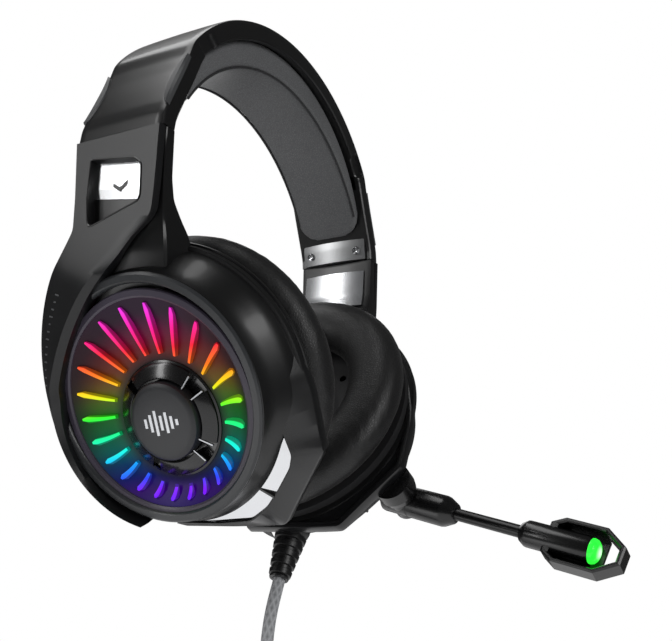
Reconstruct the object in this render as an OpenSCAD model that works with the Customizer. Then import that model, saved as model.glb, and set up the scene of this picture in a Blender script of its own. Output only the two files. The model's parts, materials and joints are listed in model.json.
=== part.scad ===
// Wired gaming headset: sprung headband, two sliding arms that each carry an
// over-ear cup, a swinging boom microphone and a coiled lead with two plugs.
// Millimetres. +Z is up, -Y is the wearer's front, +X is the wearer's left.
// The origin is midway between the ear cups, on the ear axis.

/* [Headband] */
// Radius of the band's outer skin over the head
band_r = 85.5; // [83:0.5:88]
// Width of the band, front to back
band_w = 39.5; // [36:0.5:42]
// Depth of the band shell's side walls
band_depth = 7.8; // [7:0.2:9]
// Thickness of the band shell's skin
band_skin = 2.4; // [2:0.1:3]
// Thickness of the head pad
pad_t = 11; // [8:0.5:12]
// How far each arm slides out of the band
slide_travel = 24; // [10:1:24]

/* [Ear cups] */
// Distance of each cup's centre from the middle plane
cup_x = 42.1; // [42:0.1:60]
// Lean of the cups, tops apart, when nothing spreads the band
cup_tilt = 25.8; // [20:0.1:26]
// Radius of the cup's rim
cup_r = 53; // [52:0.5:53.5]
// Outer radius of the ear cushion
cushion_r = 54.5; // [52:0.5:54.5]
// Radius of the ear opening in the cushion
ear_r = 29.1; // [27:0.1:31]
// Number of light bars round each hub
bar_count = 24; // [12:2:30]

/* [Microphone] */
// Length of the boom from its pivot to the tip
mic_reach = 94.5; // [90:0.5:96]
// Downward slope of the boom in the cup's own plane
mic_slope = 15.7; // [10:0.1:20]
// Diameter of the boom's thin rod
rod_d = 4.9; // [4:0.1:6]

/* [Cord] */
// Diameter of the braided cord
cord_d = 5; // [4:0.5:6]
// Diameter of the two short leads
lead_d = 3.2; // [3:0.1:3.6]
// Radius of the audio plug's contact pin
jack_r = 1.75; // [1.75:0.05:1.75]

/* [Hidden] */
$fn = 96;

left = 1;
right = -1;
gap = 0.4;

// Headband: an arc from shoulder to shoulder, then a straight leg to the seam.
band_z = 160.5 - band_r;
band_y = 4.8;
half_w = band_w / 2;
shoulder = 35;
wall_t = 2.5;
seam_z = 84;
spring_t = 0.8;
liner_t = 1.6;
leg_outer = [[70.3, 123.2], [69.0, 117], [73.1, 110.2], [78.4, 100.9], [81.8, 92.4], [83.5, 91], [84.2, 84.2]];
leg_inner = [[77.0, 84.2], [75.2, 91], [73.6, 95], [70.8, 98.5], [66.0, 103.5], [62.3, 112], [62.0, 118]];
pad_end = [[73.3, 95], [70.2, 95.6], [68.4, 99.2]];

// Slider: a bent steel strip, vertical in the arm and leaning in the leg.
slide_lean = 23;
slide_x = 80.8;
strip_w = 16;
strip_t = 1.4;
strip_up = slide_travel + 12;
tab_h = 7;
slot_w = 18;
slot_t = 2.4;

// Arm: a vertical blade that turns into a crescent on the cup's face.
arm_out = 85;
arm_skin = 2.5;
window_x = 81.5;
window = [[11.3, 75.6], [-9.1, 72.5], [-12.2, 69.8], [-12.9, 58.3], [-12.2, 56], [9, 49.8], [10.2, 51], [11.5, 60.7]];
blade = [
    [-14.9, seam_z - gap / 2], [-14.7, 60], [-14.2, 51], [-13.5, 49], [-5.6, 42.9], [0.8, 36], [5.8, 30],
    [31, 26], [29.6, 34], [27.1, 39.3], [22.5, 47.7], [21.9, 50], [22.3, 60], [24.2, seam_z - gap / 2]
];
frame_side = [
    [77.2, seam_z - gap / 2], [arm_out - arm_skin, seam_z - gap / 2], [arm_out - arm_skin, 36], [80.6, 31.6],
    [62, 38], [66.3, 44.2], [68.5, 49], [69.9, 51], [73.2, 55], [75.1, 59], [76.4, 68]
];
crescent_low = 22.4;
crescent_top = 26;

// Cup profile: [radius, height along the cup's own outward axis].
bowl = [[cup_r, 0], [cup_r, 2], [51.5, 6], [48.5, 12], [45.5, 19.5], [45.5, 20.6]];
bowl_inside = [[43.3, 20.6], [43.3, 19], [46.2, 12], [49.2, 6], [50.6, 0]];
flange_t = 4;
wing_top = 12;
flange_outline = [[54.5, 4], [54.5, -27], [33, -54], [-10, -54.5], [0, 0]];
openings = [
    [[43, -15.6], [45.3, -20.6], [46.4, -24.7], [44.6, -29.6], [37.3, -38], [33.2, -35.4], [38, -28.6], [41.6, -18.6]],
    [[32.4, -36.4], [36.2, -39.2], [31.2, -44.5], [25.2, -48], [12.2, -49.3], [19.9, -45.2], [25.1, -42]]
];
dish_c = [0.5, -1.8];
dish_r = 38.2;
hub_c = [0.3, -9];
moat_r = 21.4;
cap_r = 14.5;
bar_first = 116;

// Microphone: the pivot is on the left cup's front lower corner.
mic_pivot = [48.5, -31];
mic_x = 19.4;
pin_r = 3;
pin_fit = 0.05;
knuckle_r = 8;
base_r = 6.4;
base_len = 25;
capsule_r = 5.1;
lens_at = 82;

// Controls on the left cup's rear edge.
wheel_c = [-5.8, 50.6, -14];
wheel_r = 3.4;
wheel_t = 1.4;
axle_r = 1;

// Cord: the route is in the room's frame, straight out of the strain relief.
relief_x = 10;
relief_y = -4.6;
relief_from = -47.5;
relief_to = -72;
main_route = [
    [20.5, -4.6, -69], [18.6, -4.7, -73], [15.8, -4.9, -79], [13.6, -5, -86],
    [12.4, -5, -94], [12, -5, -104], [12, -5, -118], [12, -5, -132]
];
tail_route = [[27, -5, -168], [27, -5, -176], [27, -5, -185]];
usb_route = [[30, -5, -202], [30.5, -5, -212], [33, -5, -224], [34.5, -5, -240], [35, -5, -258], [35, -5, -282]];
audio_route = [[24, -5, -202], [23.5, -5, -212], [21, -5, -224], [19.5, -5, -240], [19, -5, -258], [19, -5, -282]];
coil_c = [19.5, 27.5, -150];
coil_mid = 27.5;
coil_layers = 3;
coil_columns = 4;

// Places its children on one side of the head.
module on_side(side) {
    mirror([side < 0 ? 1 : 0, 0, 0]) children();
}

// Places its children in one cup's frame: +X outward, -Y front, +Z up the cup.
module on_cup(side) {
    on_side(side) translate([cup_x, 0, 0]) rotate([0, cup_tilt, 0]) children();
}

// A solid turned about the cup's own axis from [radius, height] points.
module turned(points) {
    rotate([0, 90, 0]) rotate_extrude() polygon(points);
}

// An outline of [forward, up] points, raised along the cup's own axis.
module raised(points, from, to) {
    translate([from, 0, 0])
        rotate([90, 0, 90]) linear_extrude(to - from) mirror([1, 0]) polygon(points);
}

// An outline of [outward, up] points carried from front to back, w wide.
module across(points, w) {
    translate([0, band_y + w / 2, 0]) rotate([90, 0, 0]) linear_extrude(w) polygon(points);
}

function arc(r, a0, a1, steps) = [for (i = [0:steps]) let (a = a0 + (a1 - a0) * i / steps) r * [cos(a), sin(a)]];
function lifted(points) = [for (p = points) p + [0, band_z]];
function reversed(points) = [for (i = [len(points) - 1:-1:0]) points[i]];

// Half a turn of the band between two depths, w wide.
module band_arc(outer, inner, w, from = shoulder) {
    translate([0, band_y + w / 2, band_z]) rotate([90, 0, 0])
        intersection() {
            rotate_extrude($fn = 180) translate([band_r - inner, 0]) square([inner - outer, w]);
            linear_extrude(w) polygon([
                [0, 0], [2 * band_r * cos(from), 2 * band_r * sin(from)],
                [0, 4 * band_r], [-2 * band_r * cos(from), 2 * band_r * sin(from)]
            ]);
        }
}

// The tilted box that the slider's leaning part fills, or its slot.
module slide_bar(from, to, w, t) {
    translate([slide_x, band_y, seam_z]) rotate([0, -slide_lean, 0])
        translate([-t / 2, -w / 2, from]) cube([t, w, to - from]);
}

module leg() {
    corner = band_r * [cos(shoulder), sin(shoulder)] + [0, band_z];
    inner_corner = (band_r - band_depth) * [cos(shoulder), sin(shoulder)] + [0, band_z];
    across(concat([corner], leg_outer, leg_inner, [inner_corner]), band_w);
}

module band_shell() {
    color("#17181a") {
        band_arc(0, band_skin, band_w);
        for (side = [-1, 1])
            translate([0, side * (half_w - wall_t / 2), 0]) band_arc(band_skin, band_depth, wall_t);
        for (side = [right, left])
            on_side(side) difference() {
                leg();
                slide_bar(-2, strip_up + 1.5, slot_w, slot_t);
                for (y = [-12.75, 12.75])
                    translate([75, band_y + y, 89]) rotate([0, 90, 0]) cylinder(h = 3.4, r = 1.1, center = true);
            }
    }
}

module band_spring() {
    color("#8d9093")
        band_arc(band_skin + 0.1, band_skin + 0.1 + spring_t, band_w - 2 * wall_t - 8, 38);
}

module band_liner() {
    color("#2a2b2d")
        band_arc(band_skin + 0.3 + spring_t, band_skin + 0.3 + spring_t + liner_t, band_w - 2 * wall_t - 0.4, 37);
}

module band_pad() {
    top = band_skin + 0.5 + spring_t + liner_t;
    bottom = top + pad_t + 3;
    outer = lifted(arc(band_r - band_depth - 0.3, 32, 148, 40));
    inner = lifted(arc(band_r - bottom, 30, 150, 40));
    end_left = [for (p = pad_end) [-p[0], p[1]]];
    color("#4b4d50") {
        band_arc(top, band_depth + 0.4, band_w - 2 * wall_t - 0.6, 37);
        difference() {
            across(concat(pad_end, inner, reversed(end_left), reversed(outer)), band_w - 7);
            for (side = [right, left]) on_side(side) leg_clear();
        }
    }
}

// The leg's inner side, a little proud, which the pad lies against.
module leg_clear() {
    inner_corner = (band_r - band_depth) * [cos(shoulder), sin(shoulder)] + [0, band_z];
    across(concat([[100, 84]], [for (p = leg_inner) p - [0.15, 0]], [inner_corner - [0.2, 0], [100, 140]]), 60);
}

// Four slim pointed inlays on the corners of the legs' outer face.
module band_strips() {
    color("#3a3c3f")
        for (side = [right, left])
            for (face = [-1, 1])
                on_side(side)
                    translate([0, face * (half_w - 1.6), 0])
                        across([for (i = [1:4]) leg_outer[i], for (i = [4:-1:1]) leg_outer[i] + [0.7, 0.4]], 3.2);
}

module end_plates() {
    color("#6d7074")
        for (side = [right, left])
            on_side(side) difference() {
                across([[76.85, 84.2], [75.05, 91], [74.05, 93.6], [72.9, 93.6], [73.7, 90.7], [75.5, 84.2]], 33);
                for (y = [-12.75, 12.75])
                    translate([75, band_y + y, 89]) rotate([0, 90, 0]) cylinder(h = 8, r = 1.15, center = true);
            }
}

module end_screws() {
    color("#c9ccd0")
        for (side = [right, left])
            for (y = [-12.75, 12.75])
                on_side(side) translate([0, band_y + y, 89]) rotate([0, 90, 0]) {
                    translate([0, 0, 72.7]) cylinder(h = 0.9, r = 2);
                    translate([0, 0, 73.4]) cylinder(h = 3.1, r = 1);
                }
}

// A point on the strip's leaning part: t up from the bend, off from its middle.
function leaning(t, off) = [
    slide_x - t * sin(slide_lean) + off * cos(slide_lean), seam_z + t * cos(slide_lean) + off * sin(slide_lean)
];
function mitre(off) = [slide_x, seam_z] + off * [1, sin(slide_lean) / (1 + cos(slide_lean))];

module slider(side) {
    h = strip_t / 2;
    color("#aeb1b5") on_side(side) across([
        [slide_x + h, seam_z - tab_h], mitre(h), leaning(strip_up, h),
        leaning(strip_up, -h), mitre(-h), [slide_x - h, seam_z - tab_h]
    ], strip_w);
}

// The cup's bowl as a plain solid, grown by c, for cutting its neighbours.
module bowl_solid(c) {
    turned(concat([[0, -2]], [[cup_r + c, -2]], [for (p = bowl) p + [c, 0]], [[45.5 + c, 22.3], [0, 22.3]]));
}

module arm_frame(side) {
    color("#1d1e20") on_side(side) difference() {
        across(frame_side, 35);
        translate([cup_x, 0, 0]) rotate([0, cup_tilt, 0]) bowl_solid(0);
        translate([slide_x - strip_t / 2, band_y - strip_w / 2, seam_z - tab_h])
            cube([strip_t, strip_w, tab_h + 1]);
        translate([window_x - 1.5, band_y, 0]) rotate([90, 0, 90]) linear_extrude(5) polygon(window);
        translate([70, band_y - 16.5, 60]) cube([7.6, 33, 18.4]);
    }
}

// The crescent: between two outer arcs and two inner arcs, in the cup's face.
module crescent_outline() {
    difference() {
        union() {
            circle(r = 47.5);
            intersection() {
                translate([30, 2]) circle(r = 77.7);
                translate([-60, 12]) square([58, 44]);
            }
        }
        translate([55, -38]) circle(r = 104.7);
        translate([-2.56, -8.37]) circle(r = 38.75);
        translate([-60, 56]) square([200, 60]);
        rotate(-107) square([100, 100]);
    }
}

module arm_cover(side) {
    color("#26282b") on_side(side) difference() {
        union() {
            translate([arm_out - arm_skin, 0, 0])
                rotate([90, 0, 90]) linear_extrude(arm_skin) polygon(blade);
            translate([cup_x, 0, 0]) rotate([0, cup_tilt, 0])
                translate([crescent_low, 0, 0]) rotate([90, 0, 90])
                    linear_extrude(crescent_top - crescent_low) mirror([1, 0]) crescent_outline();
        }
        translate([arm_out, -60, 0]) cube([40, 120, 100]);
        translate([cup_x, 0, 0]) rotate([0, cup_tilt, 0]) translate([crescent_top, -60, -80]) cube([30, 120, 160]);
        translate([arm_out - 4, band_y, 0]) rotate([90, 0, 90]) linear_extrude(6) polygon(window);
    }
}

module window_plate(side) {
    color("#d7dade") on_side(side)
        translate([window_x - 1.5, band_y, 0]) rotate([90, 0, 90]) linear_extrude(1.5)
            polygon([for (p = window) [p[0] * 0.99, 62 + (p[1] - 62) * 0.99]]);
}

module inner_plate(side) {
    color("#b9bcc0") on_side(side)
        intersection() {
            across([for (p = frame_side) p - [0.1, 0]], 33);
            translate([70, band_y - 16.3, 60.2]) cube([7.5, 32.6, 18]);
        }
}

module cup_shell(side) {
    color("#141517") on_cup(side) turned(concat(bowl, bowl_inside));
}

// The flange's corner and the raised frame that stands on it.
module wing(side) {
    color("#1b1c1e") on_cup(side) difference() {
        union() {
            raised(flange_outline, 0, flange_t);
            hull() {
                raised([[53.9, 2], [53.9, -26.8], [33, -53.4], [-8, -53.9], [0, -40], [40, 2]], 3.9, 4);
                raised([[47.4, 2], [46, -20.5], [47, -24.7], [45.4, -30.2], [37.6, -39.4], [31.8, -45.2],
                        [24.3, -49.3], [0, -50.4], [0, -40], [40, 2]], wing_top - 0.1, wing_top);
            }
        }
        bowl_solid(0.9);
        translate([-3, 0, 0]) rotate([0, 90, 0]) cylinder(h = 40, r = cup_r + 0.02 - 6.2);
        for (hole = openings) raised(hole, flange_t + 1, 20);
        if (side > 0)
            translate([flange_t, -mic_pivot[0], mic_pivot[1]]) rotate([0, 90, 0]) cylinder(h = 30, r = 8.5);
        if (side > 0) translate([relief_x, relief_y, -61]) cylinder(h = 16, r = 7.25);
    }
}

// Bright trim that lies on the bowl and shows through the wing's openings.
module chrome_trim(side) {
    color("#e3e5e8") on_cup(side) intersection() {
        turned([for (p = [[51.5, 6], [48.5, 12], [47, 15.8]]) p, [47.8, 15.8], [49.3, 12], [52.3, 6]]);
        raised([[10, -10], [70, -10], [70, -80], [10, -80]], 0, 30);
    }
}

module disc_ring(side) {
    color("#53565a") on_cup(side)
        turned([[41.5, 18], [43.2, 18], [43.2, 20.8], [45.4, 20.8], [45.2, 21.4], [44.4, 21.9], [42, 21.9], [41.5, 21.4]]);
}

module inner_ring(side) {
    color("#4c4856") on_cup(side) difference() {
        turned([[30, 18.8], [41.4, 18.8], [41.4, 20], [40.6, 20.8], [30, 20.8]]);
        translate([0, -dish_c[0], dish_c[1]]) rotate([0, 90, 0]) cylinder(h = 60, r = dish_r + 0.1, center = true);
    }
}

// The space between the dish's surface and a copy of it, h higher.
module dish_layer(h0, h1) {
    translate([0, -dish_c[0], dish_c[1]])
        turned([[0, 14 + h0], [28, 14 + h0], [dish_r, 20 + h0], [dish_r, 20 + h1], [28, 14 + h1], [0, 14 + h1]]);
}

module hub_hole(r) {
    translate([0, -hub_c[0] - 0.6, hub_c[1]]) rotate([0, 90, 0]) cylinder(h = 60, r = r, center = true);
}

module light_dish(side) {
    color("#3a2a4a") on_cup(side) difference() {
        dish_layer(-1.4, 0);
        hub_hole(moat_r + 0.1);
    }
}

module light_bars(side) {
    color("#ff5a9a") on_cup(side) intersection() {
        dish_layer(0, 1.3);
        for (i = [0:bar_count - 1])
            let (a = bar_first - i * 360 / bar_count, d = dish_c - hub_c,
                 reach = d[0] * cos(a) + d[1] * sin(a),
                 outer = reach + sqrt(pow(reach, 2) + pow(36.3, 2) - pow(d[0], 2) - pow(d[1], 2)))
                translate([13, -hub_c[0], hub_c[1]]) rotate([90, 0, 90]) mirror([1, 0, 0]) rotate(a)
                    linear_extrude(10) polygon([[23.4, -1], [outer, -2.1], [outer, 2.1], [23.4, 1]]);
    }
}

module led_board(side) {
    color("#1f5a34") on_cup(side) difference() {
        turned([[15, 9], [36, 9], [36, 10.6], [15, 10.6]]);
        hub_hole(12);
    }
}

module hub_ring(side) {
    color("#0f1011") on_cup(side) translate([0, -hub_c[0] - 0.6, hub_c[1]]) difference() {
        turned([[0, 12.2], [moat_r, 12.2], [moat_r, 13.9], [19.6, 14.1], [19, 17], [15.6, 17.4], [15.2, 14.3], [0, 14.3]]);
        for (a = [20:90:290])
            rotate([a, 0, 0]) translate([14.6, -0.8, 10]) cube([6, 1.6, 14]);
    }
}

module hub_cap(side) {
    color("#2c2e31") on_cup(side) translate([0, -hub_c[0] - 0.6, hub_c[1]])
        turned([[0, 14.3], [13.8, 14.3], [cap_r, 14.9], [14.4, 17.6], [13.6, 19], [11, 19.5], [0, 19.6]]);
}

module driver(side) {
    color("#303234") on_cup(side)
        turned([[0, 6.5], [8, 6.5], [9, 1.5], [20, 0.6], [20, -2.6], [18.6, -2.6], [12, -1], [6, -2], [0, -2.4]]);
}

// The plate behind the cushion. The left one carries the wheel's axle and the
// slot that guides the microphone switch.
module baffle(side) {
    color("#202124") on_cup(side) {
        difference() {
            turned([[20, -4], [51, -4], [51, -0.4], [49.9, -0.4], [49.9, 1.5], [48.8, 1.5], [48.8, -0.4], [20, -0.4]]);
            for (a = [0:45:315])
                rotate([a, 0, 0]) translate([-8, 25, 0]) rotate([0, 90, 0]) cylinder(h = 12, r = 1.6);
            if (side > 0) translate([-3.2, 47, -5]) cube([2, 6, 12]);
        }
        if (side > 0) translate(wheel_c) rotate([0, 90, 0]) cylinder(h = wheel_t + 0.5, r = axle_r);
    }
}

module cushion(side) {
    mid = (cushion_r + ear_r) / 2;
    color("#1a1b1d") on_cup(side) rotate([0, 90, 0]) rotate_extrude()
        polygon([for (a = [0:15:345]) [mid + (cushion_r - mid) * cos(a), -14.3 + 9.9 * sin(a)]]);
}

// A solid turned about the boom's own axis from [radius, distance] points.
module on_boom() {
    on_cup(left) translate([mic_x, -mic_pivot[0], mic_pivot[1]])
        rotate([mic_slope, 0, 0]) rotate([90, 0, 0]) children();
}

module mic_socket() {
    color("#1a1b1d") on_cup(left) translate([0, -mic_pivot[0], mic_pivot[1]]) difference() {
        turned([[0, 4], [8.3, 4], [8.3, 10], [7.8, 12.5], [pin_r, 12.5], [pin_r, 22], [0, 22]]);
        translate([0, mic_pivot[0], -mic_pivot[1]]) bowl_solid(0.95);
    }
}

module mic_base() {
    color("#161719") {
        difference() {
            union() {
                on_cup(left) translate([0, -mic_pivot[0], mic_pivot[1]])
                    turned([[0, 12.9], [7.4, 12.9], [knuckle_r, 13.5], [knuckle_r, 23.6], [6.8, 25], [0, 25]]);
                on_boom() rotate_extrude()
                    polygon([[0, 0], [base_r, 0], [base_r, base_len - 2], [5.2, base_len], [0, base_len]]);
            }
            on_cup(left) translate([12, -mic_pivot[0], mic_pivot[1]])
                rotate([0, 90, 0]) cylinder(h = 10.4, r = pin_r + pin_fit);
            on_boom() translate([0, 0, base_len - 4]) cylinder(h = 6, r = rod_d / 2);
        }
    }
}

module mic_rod() {
    color("#222326") on_boom() translate([0, 0, base_len - 4]) cylinder(h = 56 - base_len + 4, r = rod_d / 2);
}

module mic_capsule() {
    color("#151618") on_boom() difference() {
        rotate_extrude()
            polygon([[0, 54], [3.6, 54], [capsule_r, 56], [capsule_r, lens_at], [0, lens_at]]);
        translate([0, 0, 53]) cylinder(h = 3, r = rod_d / 2);
    }
}

module mic_lens() {
    color("#3dff5a") on_boom() rotate_extrude()
        polygon([[0, lens_at], [capsule_r - 0.2, lens_at], [4.2, lens_at + 1.6], [2.4, lens_at + 2.6], [0, lens_at + 3]]);
}

module mic_fork() {
    color("#111214") on_boom() difference() {
        translate([-4.4, 0, 0]) rotate([0, 90, 0]) linear_extrude(8.8) polygon([
            [-65, -6.5], [-70, -9.2], [-86, -9.2], [-mic_reach, -3.6], [-mic_reach, 3.6], [-86, 9.2], [-70, 9.2], [-65, 6.5]
        ]);
        translate([-6, 0, 0]) rotate([0, 90, 0]) linear_extrude(12)
            polygon([[-72, -6], [-85, -6], [-91.5, -2.4], [-91.5, 2.4], [-85, 6], [-72, 6]]);
        translate([0, 0, 60]) cylinder(h = 20, r = capsule_r);
    }
}

// Edge wheel for the volume, let into the left flange's rear edge.
module volume_wheel() {
    color("#2b2d30") on_cup(left) translate(wheel_c) rotate([0, 90, 0]) difference() {
        cylinder(h = wheel_t, r = wheel_r);
        translate([0, 0, -1]) cylinder(h = 4, r = axle_r + pin_fit);
    }
}

// Slide switch that mutes the microphone, in the slot in the left baffle.
module mic_switch() {
    color("#35373a") on_cup(left) {
        translate([-3.6, 51.4, -2.5]) cube([2.8, 2, 5]);
        translate([-2.8, 48.2, -2]) cube([1.2, 3.4, 4]);
    }
}

module strain_relief() {
    color("#1c1d1f") on_cup(left) translate([relief_x, relief_y, 0]) difference() {
        union() {
            translate([0, 0, relief_to]) cylinder(h = relief_from - relief_to, r1 = 4, r2 = 6.6);
            for (z = [-69:4.4:-55]) translate([0, 0, z]) cylinder(h = 2.2, r = 5.4 + (z + 69) * 0.12);
        }
        translate([-relief_x, -relief_y, 0]) bowl_solid(0.95);
        translate([0, 0, relief_to - 1]) cylinder(h = 6, r = cord_d / 2);
    }
}

function unit(v) = v / norm(v);
function tangent(route, i) = unit(route[min(i + 1, len(route) - 1)] - route[max(i - 1, 0)]);

// A tube swept along a route that stays in one plane facing +Y.
module swept(route, d, sides) {
    rings = [
        for (i = [0:len(route) - 1])
            let (u = unit(cross([0, 1, 0], tangent(route, i))))
                for (s = [0:sides - 1])
                    route[i] + d / 2 * (cos(360 * s / sides) * u + sin(360 * s / sides) * [0, 1, 0])
    ];
    last = len(route) - 1;
    walls = [
        for (i = [0:last - 1]) for (s = [0:sides - 1])
            let (t = (s + 1) % sides) [i * sides + s, (i + 1) * sides + s, (i + 1) * sides + t, i * sides + t]
    ];
    polyhedron(rings, concat([[for (s = [0:sides - 1]) s]], walls, [[for (s = [sides - 1:-1:0]) last * sides + s]]));
}

module cord_tube() {
    color("#9ba0a6") {
        swept(main_route, cord_d, 12);
        swept(tail_route, cord_d, 12);
    }
}

// The closed shape that the wound turns fill.
module cord_coil() {
    h = coil_columns * cord_d;
    t = coil_layers * cord_d;
    color("#8d9298") translate(coil_c) rotate([0, 90, 0]) rotate_extrude()
        polygon([
            [coil_mid - t / 2, 1 - h / 2], [coil_mid - t / 2 + 1, -h / 2], [coil_mid + t / 2 - 1, -h / 2],
            [coil_mid + t / 2, 1 - h / 2], [coil_mid + t / 2, h / 2 - 1], [coil_mid + t / 2 - 1, h / 2],
            [coil_mid - t / 2 + 1, h / 2], [coil_mid - t / 2, h / 2 - 1]
        ]);
}

module cord_tie() {
    w = coil_columns * cord_d;
    t = coil_layers * cord_d;
    color("#161616") translate(coil_c + [0, 0, coil_mid]) difference() {
        cube([w + 3, 9, t + 3], center = true);
        cube([w + 0.2, 10, t + 0.2], center = true);
    }
}

module cord_split() {
    color("#1c1d1f") translate([27, -5, -202]) hull() {
        translate([-3, 0, 0]) cylinder(h = 10, r = 3.4, $fn = 32);
        translate([3, 0, 0]) cylinder(h = 10, r = 3.4, $fn = 32);
        cylinder(h = 17, r = 3.6, $fn = 32);
    }
}

module lead_usb() {
    color("#2a2b2d") swept(usb_route, lead_d, 8);
}

module lead_audio() {
    color("#2a2b2d") swept(audio_route, lead_d, 8);
}

module usb_plug() {
    color("#1b1c1e") translate([35, -5, -282]) {
        translate([-7.5, -4, -18]) cube([15, 8, 18]);
        translate([-6, -2.25, -30]) cube([12, 4.5, 12.5]);
    }
}

module audio_plug() {
    color("#1b1c1e") translate([19, -5, -282]) {
        translate([0, 0, -15]) cylinder(h = 15, r = 4);
        translate([0, 0, -29]) cylinder(h = 14.5, r = jack_r);
    }
}

band_shell();
band_spring();
band_liner();
band_pad();
band_strips();
end_plates();
end_screws();
slider(left);  // slider_left
arm_frame(left);  // arm_frame_left
arm_cover(left);  // arm_cover_left
window_plate(left);  // window_plate_left
inner_plate(left);  // inner_plate_left
cup_shell(left);  // cup_shell_left
wing(left);  // wing_left
chrome_trim(left);  // chrome_trim_left
disc_ring(left);  // disc_ring_left
inner_ring(left);  // inner_ring_left
light_dish(left);  // light_dish_left
light_bars(left);  // light_bars_left
led_board(left);  // led_board_left
hub_ring(left);  // hub_ring_left
hub_cap(left);  // hub_cap_left
driver(left);  // driver_left
baffle(left);  // baffle_left
cushion(left);  // cushion_left
slider(right);  // slider_right
arm_frame(right);  // arm_frame_right
arm_cover(right);  // arm_cover_right
window_plate(right);  // window_plate_right
inner_plate(right);  // inner_plate_right
cup_shell(right);  // cup_shell_right
wing(right);  // wing_right
chrome_trim(right);  // chrome_trim_right
disc_ring(right);  // disc_ring_right
inner_ring(right);  // inner_ring_right
light_dish(right);  // light_dish_right
light_bars(right);  // light_bars_right
led_board(right);  // led_board_right
hub_ring(right);  // hub_ring_right
hub_cap(right);  // hub_cap_right
driver(right);  // driver_right
baffle(right);  // baffle_right
cushion(right);  // cushion_right
mic_socket();
mic_base();
mic_rod();
mic_capsule();
mic_lens();
mic_fork();
volume_wheel();
mic_switch();
strain_relief();
cord_tube();
cord_coil();
cord_tie();
cord_split();
lead_usb();
lead_audio();
usb_plug();
audio_plug();
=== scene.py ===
import json
import math

import bmesh
import bpy
import mathutils
import numpy as np
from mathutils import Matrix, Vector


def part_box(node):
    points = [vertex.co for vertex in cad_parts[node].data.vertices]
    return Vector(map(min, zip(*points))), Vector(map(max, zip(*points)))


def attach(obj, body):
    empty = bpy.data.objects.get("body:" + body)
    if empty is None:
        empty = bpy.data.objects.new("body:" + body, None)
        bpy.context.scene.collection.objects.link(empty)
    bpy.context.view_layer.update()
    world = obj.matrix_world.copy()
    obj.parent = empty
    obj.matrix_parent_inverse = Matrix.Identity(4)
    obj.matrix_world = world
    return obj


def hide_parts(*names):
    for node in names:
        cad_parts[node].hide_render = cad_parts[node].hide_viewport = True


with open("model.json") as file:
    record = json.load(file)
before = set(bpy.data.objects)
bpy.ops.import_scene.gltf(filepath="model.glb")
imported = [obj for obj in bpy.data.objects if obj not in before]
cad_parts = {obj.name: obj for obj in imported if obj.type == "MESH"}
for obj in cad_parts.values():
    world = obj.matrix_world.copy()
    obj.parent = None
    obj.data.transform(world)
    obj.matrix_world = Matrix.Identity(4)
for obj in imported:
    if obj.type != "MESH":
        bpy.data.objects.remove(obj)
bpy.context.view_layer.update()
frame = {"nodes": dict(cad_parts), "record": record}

# Camera. A normal lens set low in front of the wearer's right cup, looking a
# little upwards, so that the near cup's lit disc faces it.
LENS_MM = 50.3
SENSOR_MM = 36
CAMERA_PLACE = np.array([-0.31435, -0.21565, -0.06701])
TURN, RISE, ROLL = np.radians([-60.707, 15.164, 1.462])

ahead = np.array([-math.sin(TURN) * math.cos(RISE), math.cos(TURN) * math.cos(RISE), math.sin(RISE)])
level = np.array([math.cos(TURN), math.sin(TURN), 0.0])
above = np.cross(level, ahead)
right_hand = math.cos(ROLL) * level + math.sin(ROLL) * above
upward = math.cos(ROLL) * above - math.sin(ROLL) * level

camera = bpy.data.objects.new("camera", bpy.data.cameras.new("camera"))
camera.data.lens = LENS_MM
camera.data.sensor_width = SENSOR_MM
camera.data.clip_start = 0.01
placing = np.eye(4)
placing[:3, 0], placing[:3, 1], placing[:3, 2], placing[:3, 3] = right_hand, upward, -ahead, CAMERA_PLACE
camera.matrix_world = mathutils.Matrix(placing.tolist())
bpy.context.collection.objects.link(camera)
bpy.context.scene.camera = camera
bpy.context.scene.view_settings.view_transform = "Standard"


# Band shell. The glossy black moulding over the head: one arc between two
# straight legs, open on its inner side, with a dent behind each shoulder.
# It is moulded in nylon, with softly broken edges.
class Wire:
    """A value in a shader tree. Arithmetic on it adds Math nodes, and node() adds any other node."""

    def __init__(self, tree, socket):
        self.tree = tree
        self.socket = socket

    def node(self, kind, settings=(), sockets=(), out=0):
        """Any node of a kind: its settings first, then its sockets' values or links. Gives one output."""
        made = self.tree.nodes.new(kind)
        for key, value in dict(settings).items():
            if key == "stops":
                ramp = made.color_ramp
                while len(ramp.elements) < len(value):
                    ramp.elements.new(0.5)
                for stop, (place, colour) in zip(ramp.elements, value):
                    stop.position = place
                    stop.color = (*colour, 1)
            else:
                setattr(made, key, value)
        for key, value in dict(sockets).items():
            if isinstance(value, Wire):
                self.tree.links.new(value.socket, made.inputs[key])
            else:
                made.inputs[key].default_value = value
        return Wire(self.tree, made.outputs[out])

    def joined(self, operation, one, two=0.0):
        """A Math node on two values."""
        return self.node("ShaderNodeMath", {"operation": operation}, {0: one, 1: two})

    def __add__(self, other):
        return self.joined("ADD", self, other)

    def __sub__(self, other):
        return self.joined("SUBTRACT", self, other)

    def __rsub__(self, other):
        return self.joined("SUBTRACT", other, self)

    def __mul__(self, other):
        return self.joined("MULTIPLY", self, other)

    def __truediv__(self, other):
        return self.joined("DIVIDE", self, other)

    def __pow__(self, other):
        return self.joined("POWER", self, other)

    __radd__ = __add__
    __rmul__ = __mul__

    def clipped(self, low, high):
        """The value, kept between low and high."""
        return self.joined("MINIMUM", self.joined("MAXIMUM", self, low), high)

    def between(self, low, high):
        """0 below low, 1 above high, and smooth between."""
        return self.node(
            "ShaderNodeMapRange", {"interpolation_type": "SMOOTHSTEP"}, {0: self, 1: low, 2: high}
        )


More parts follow.
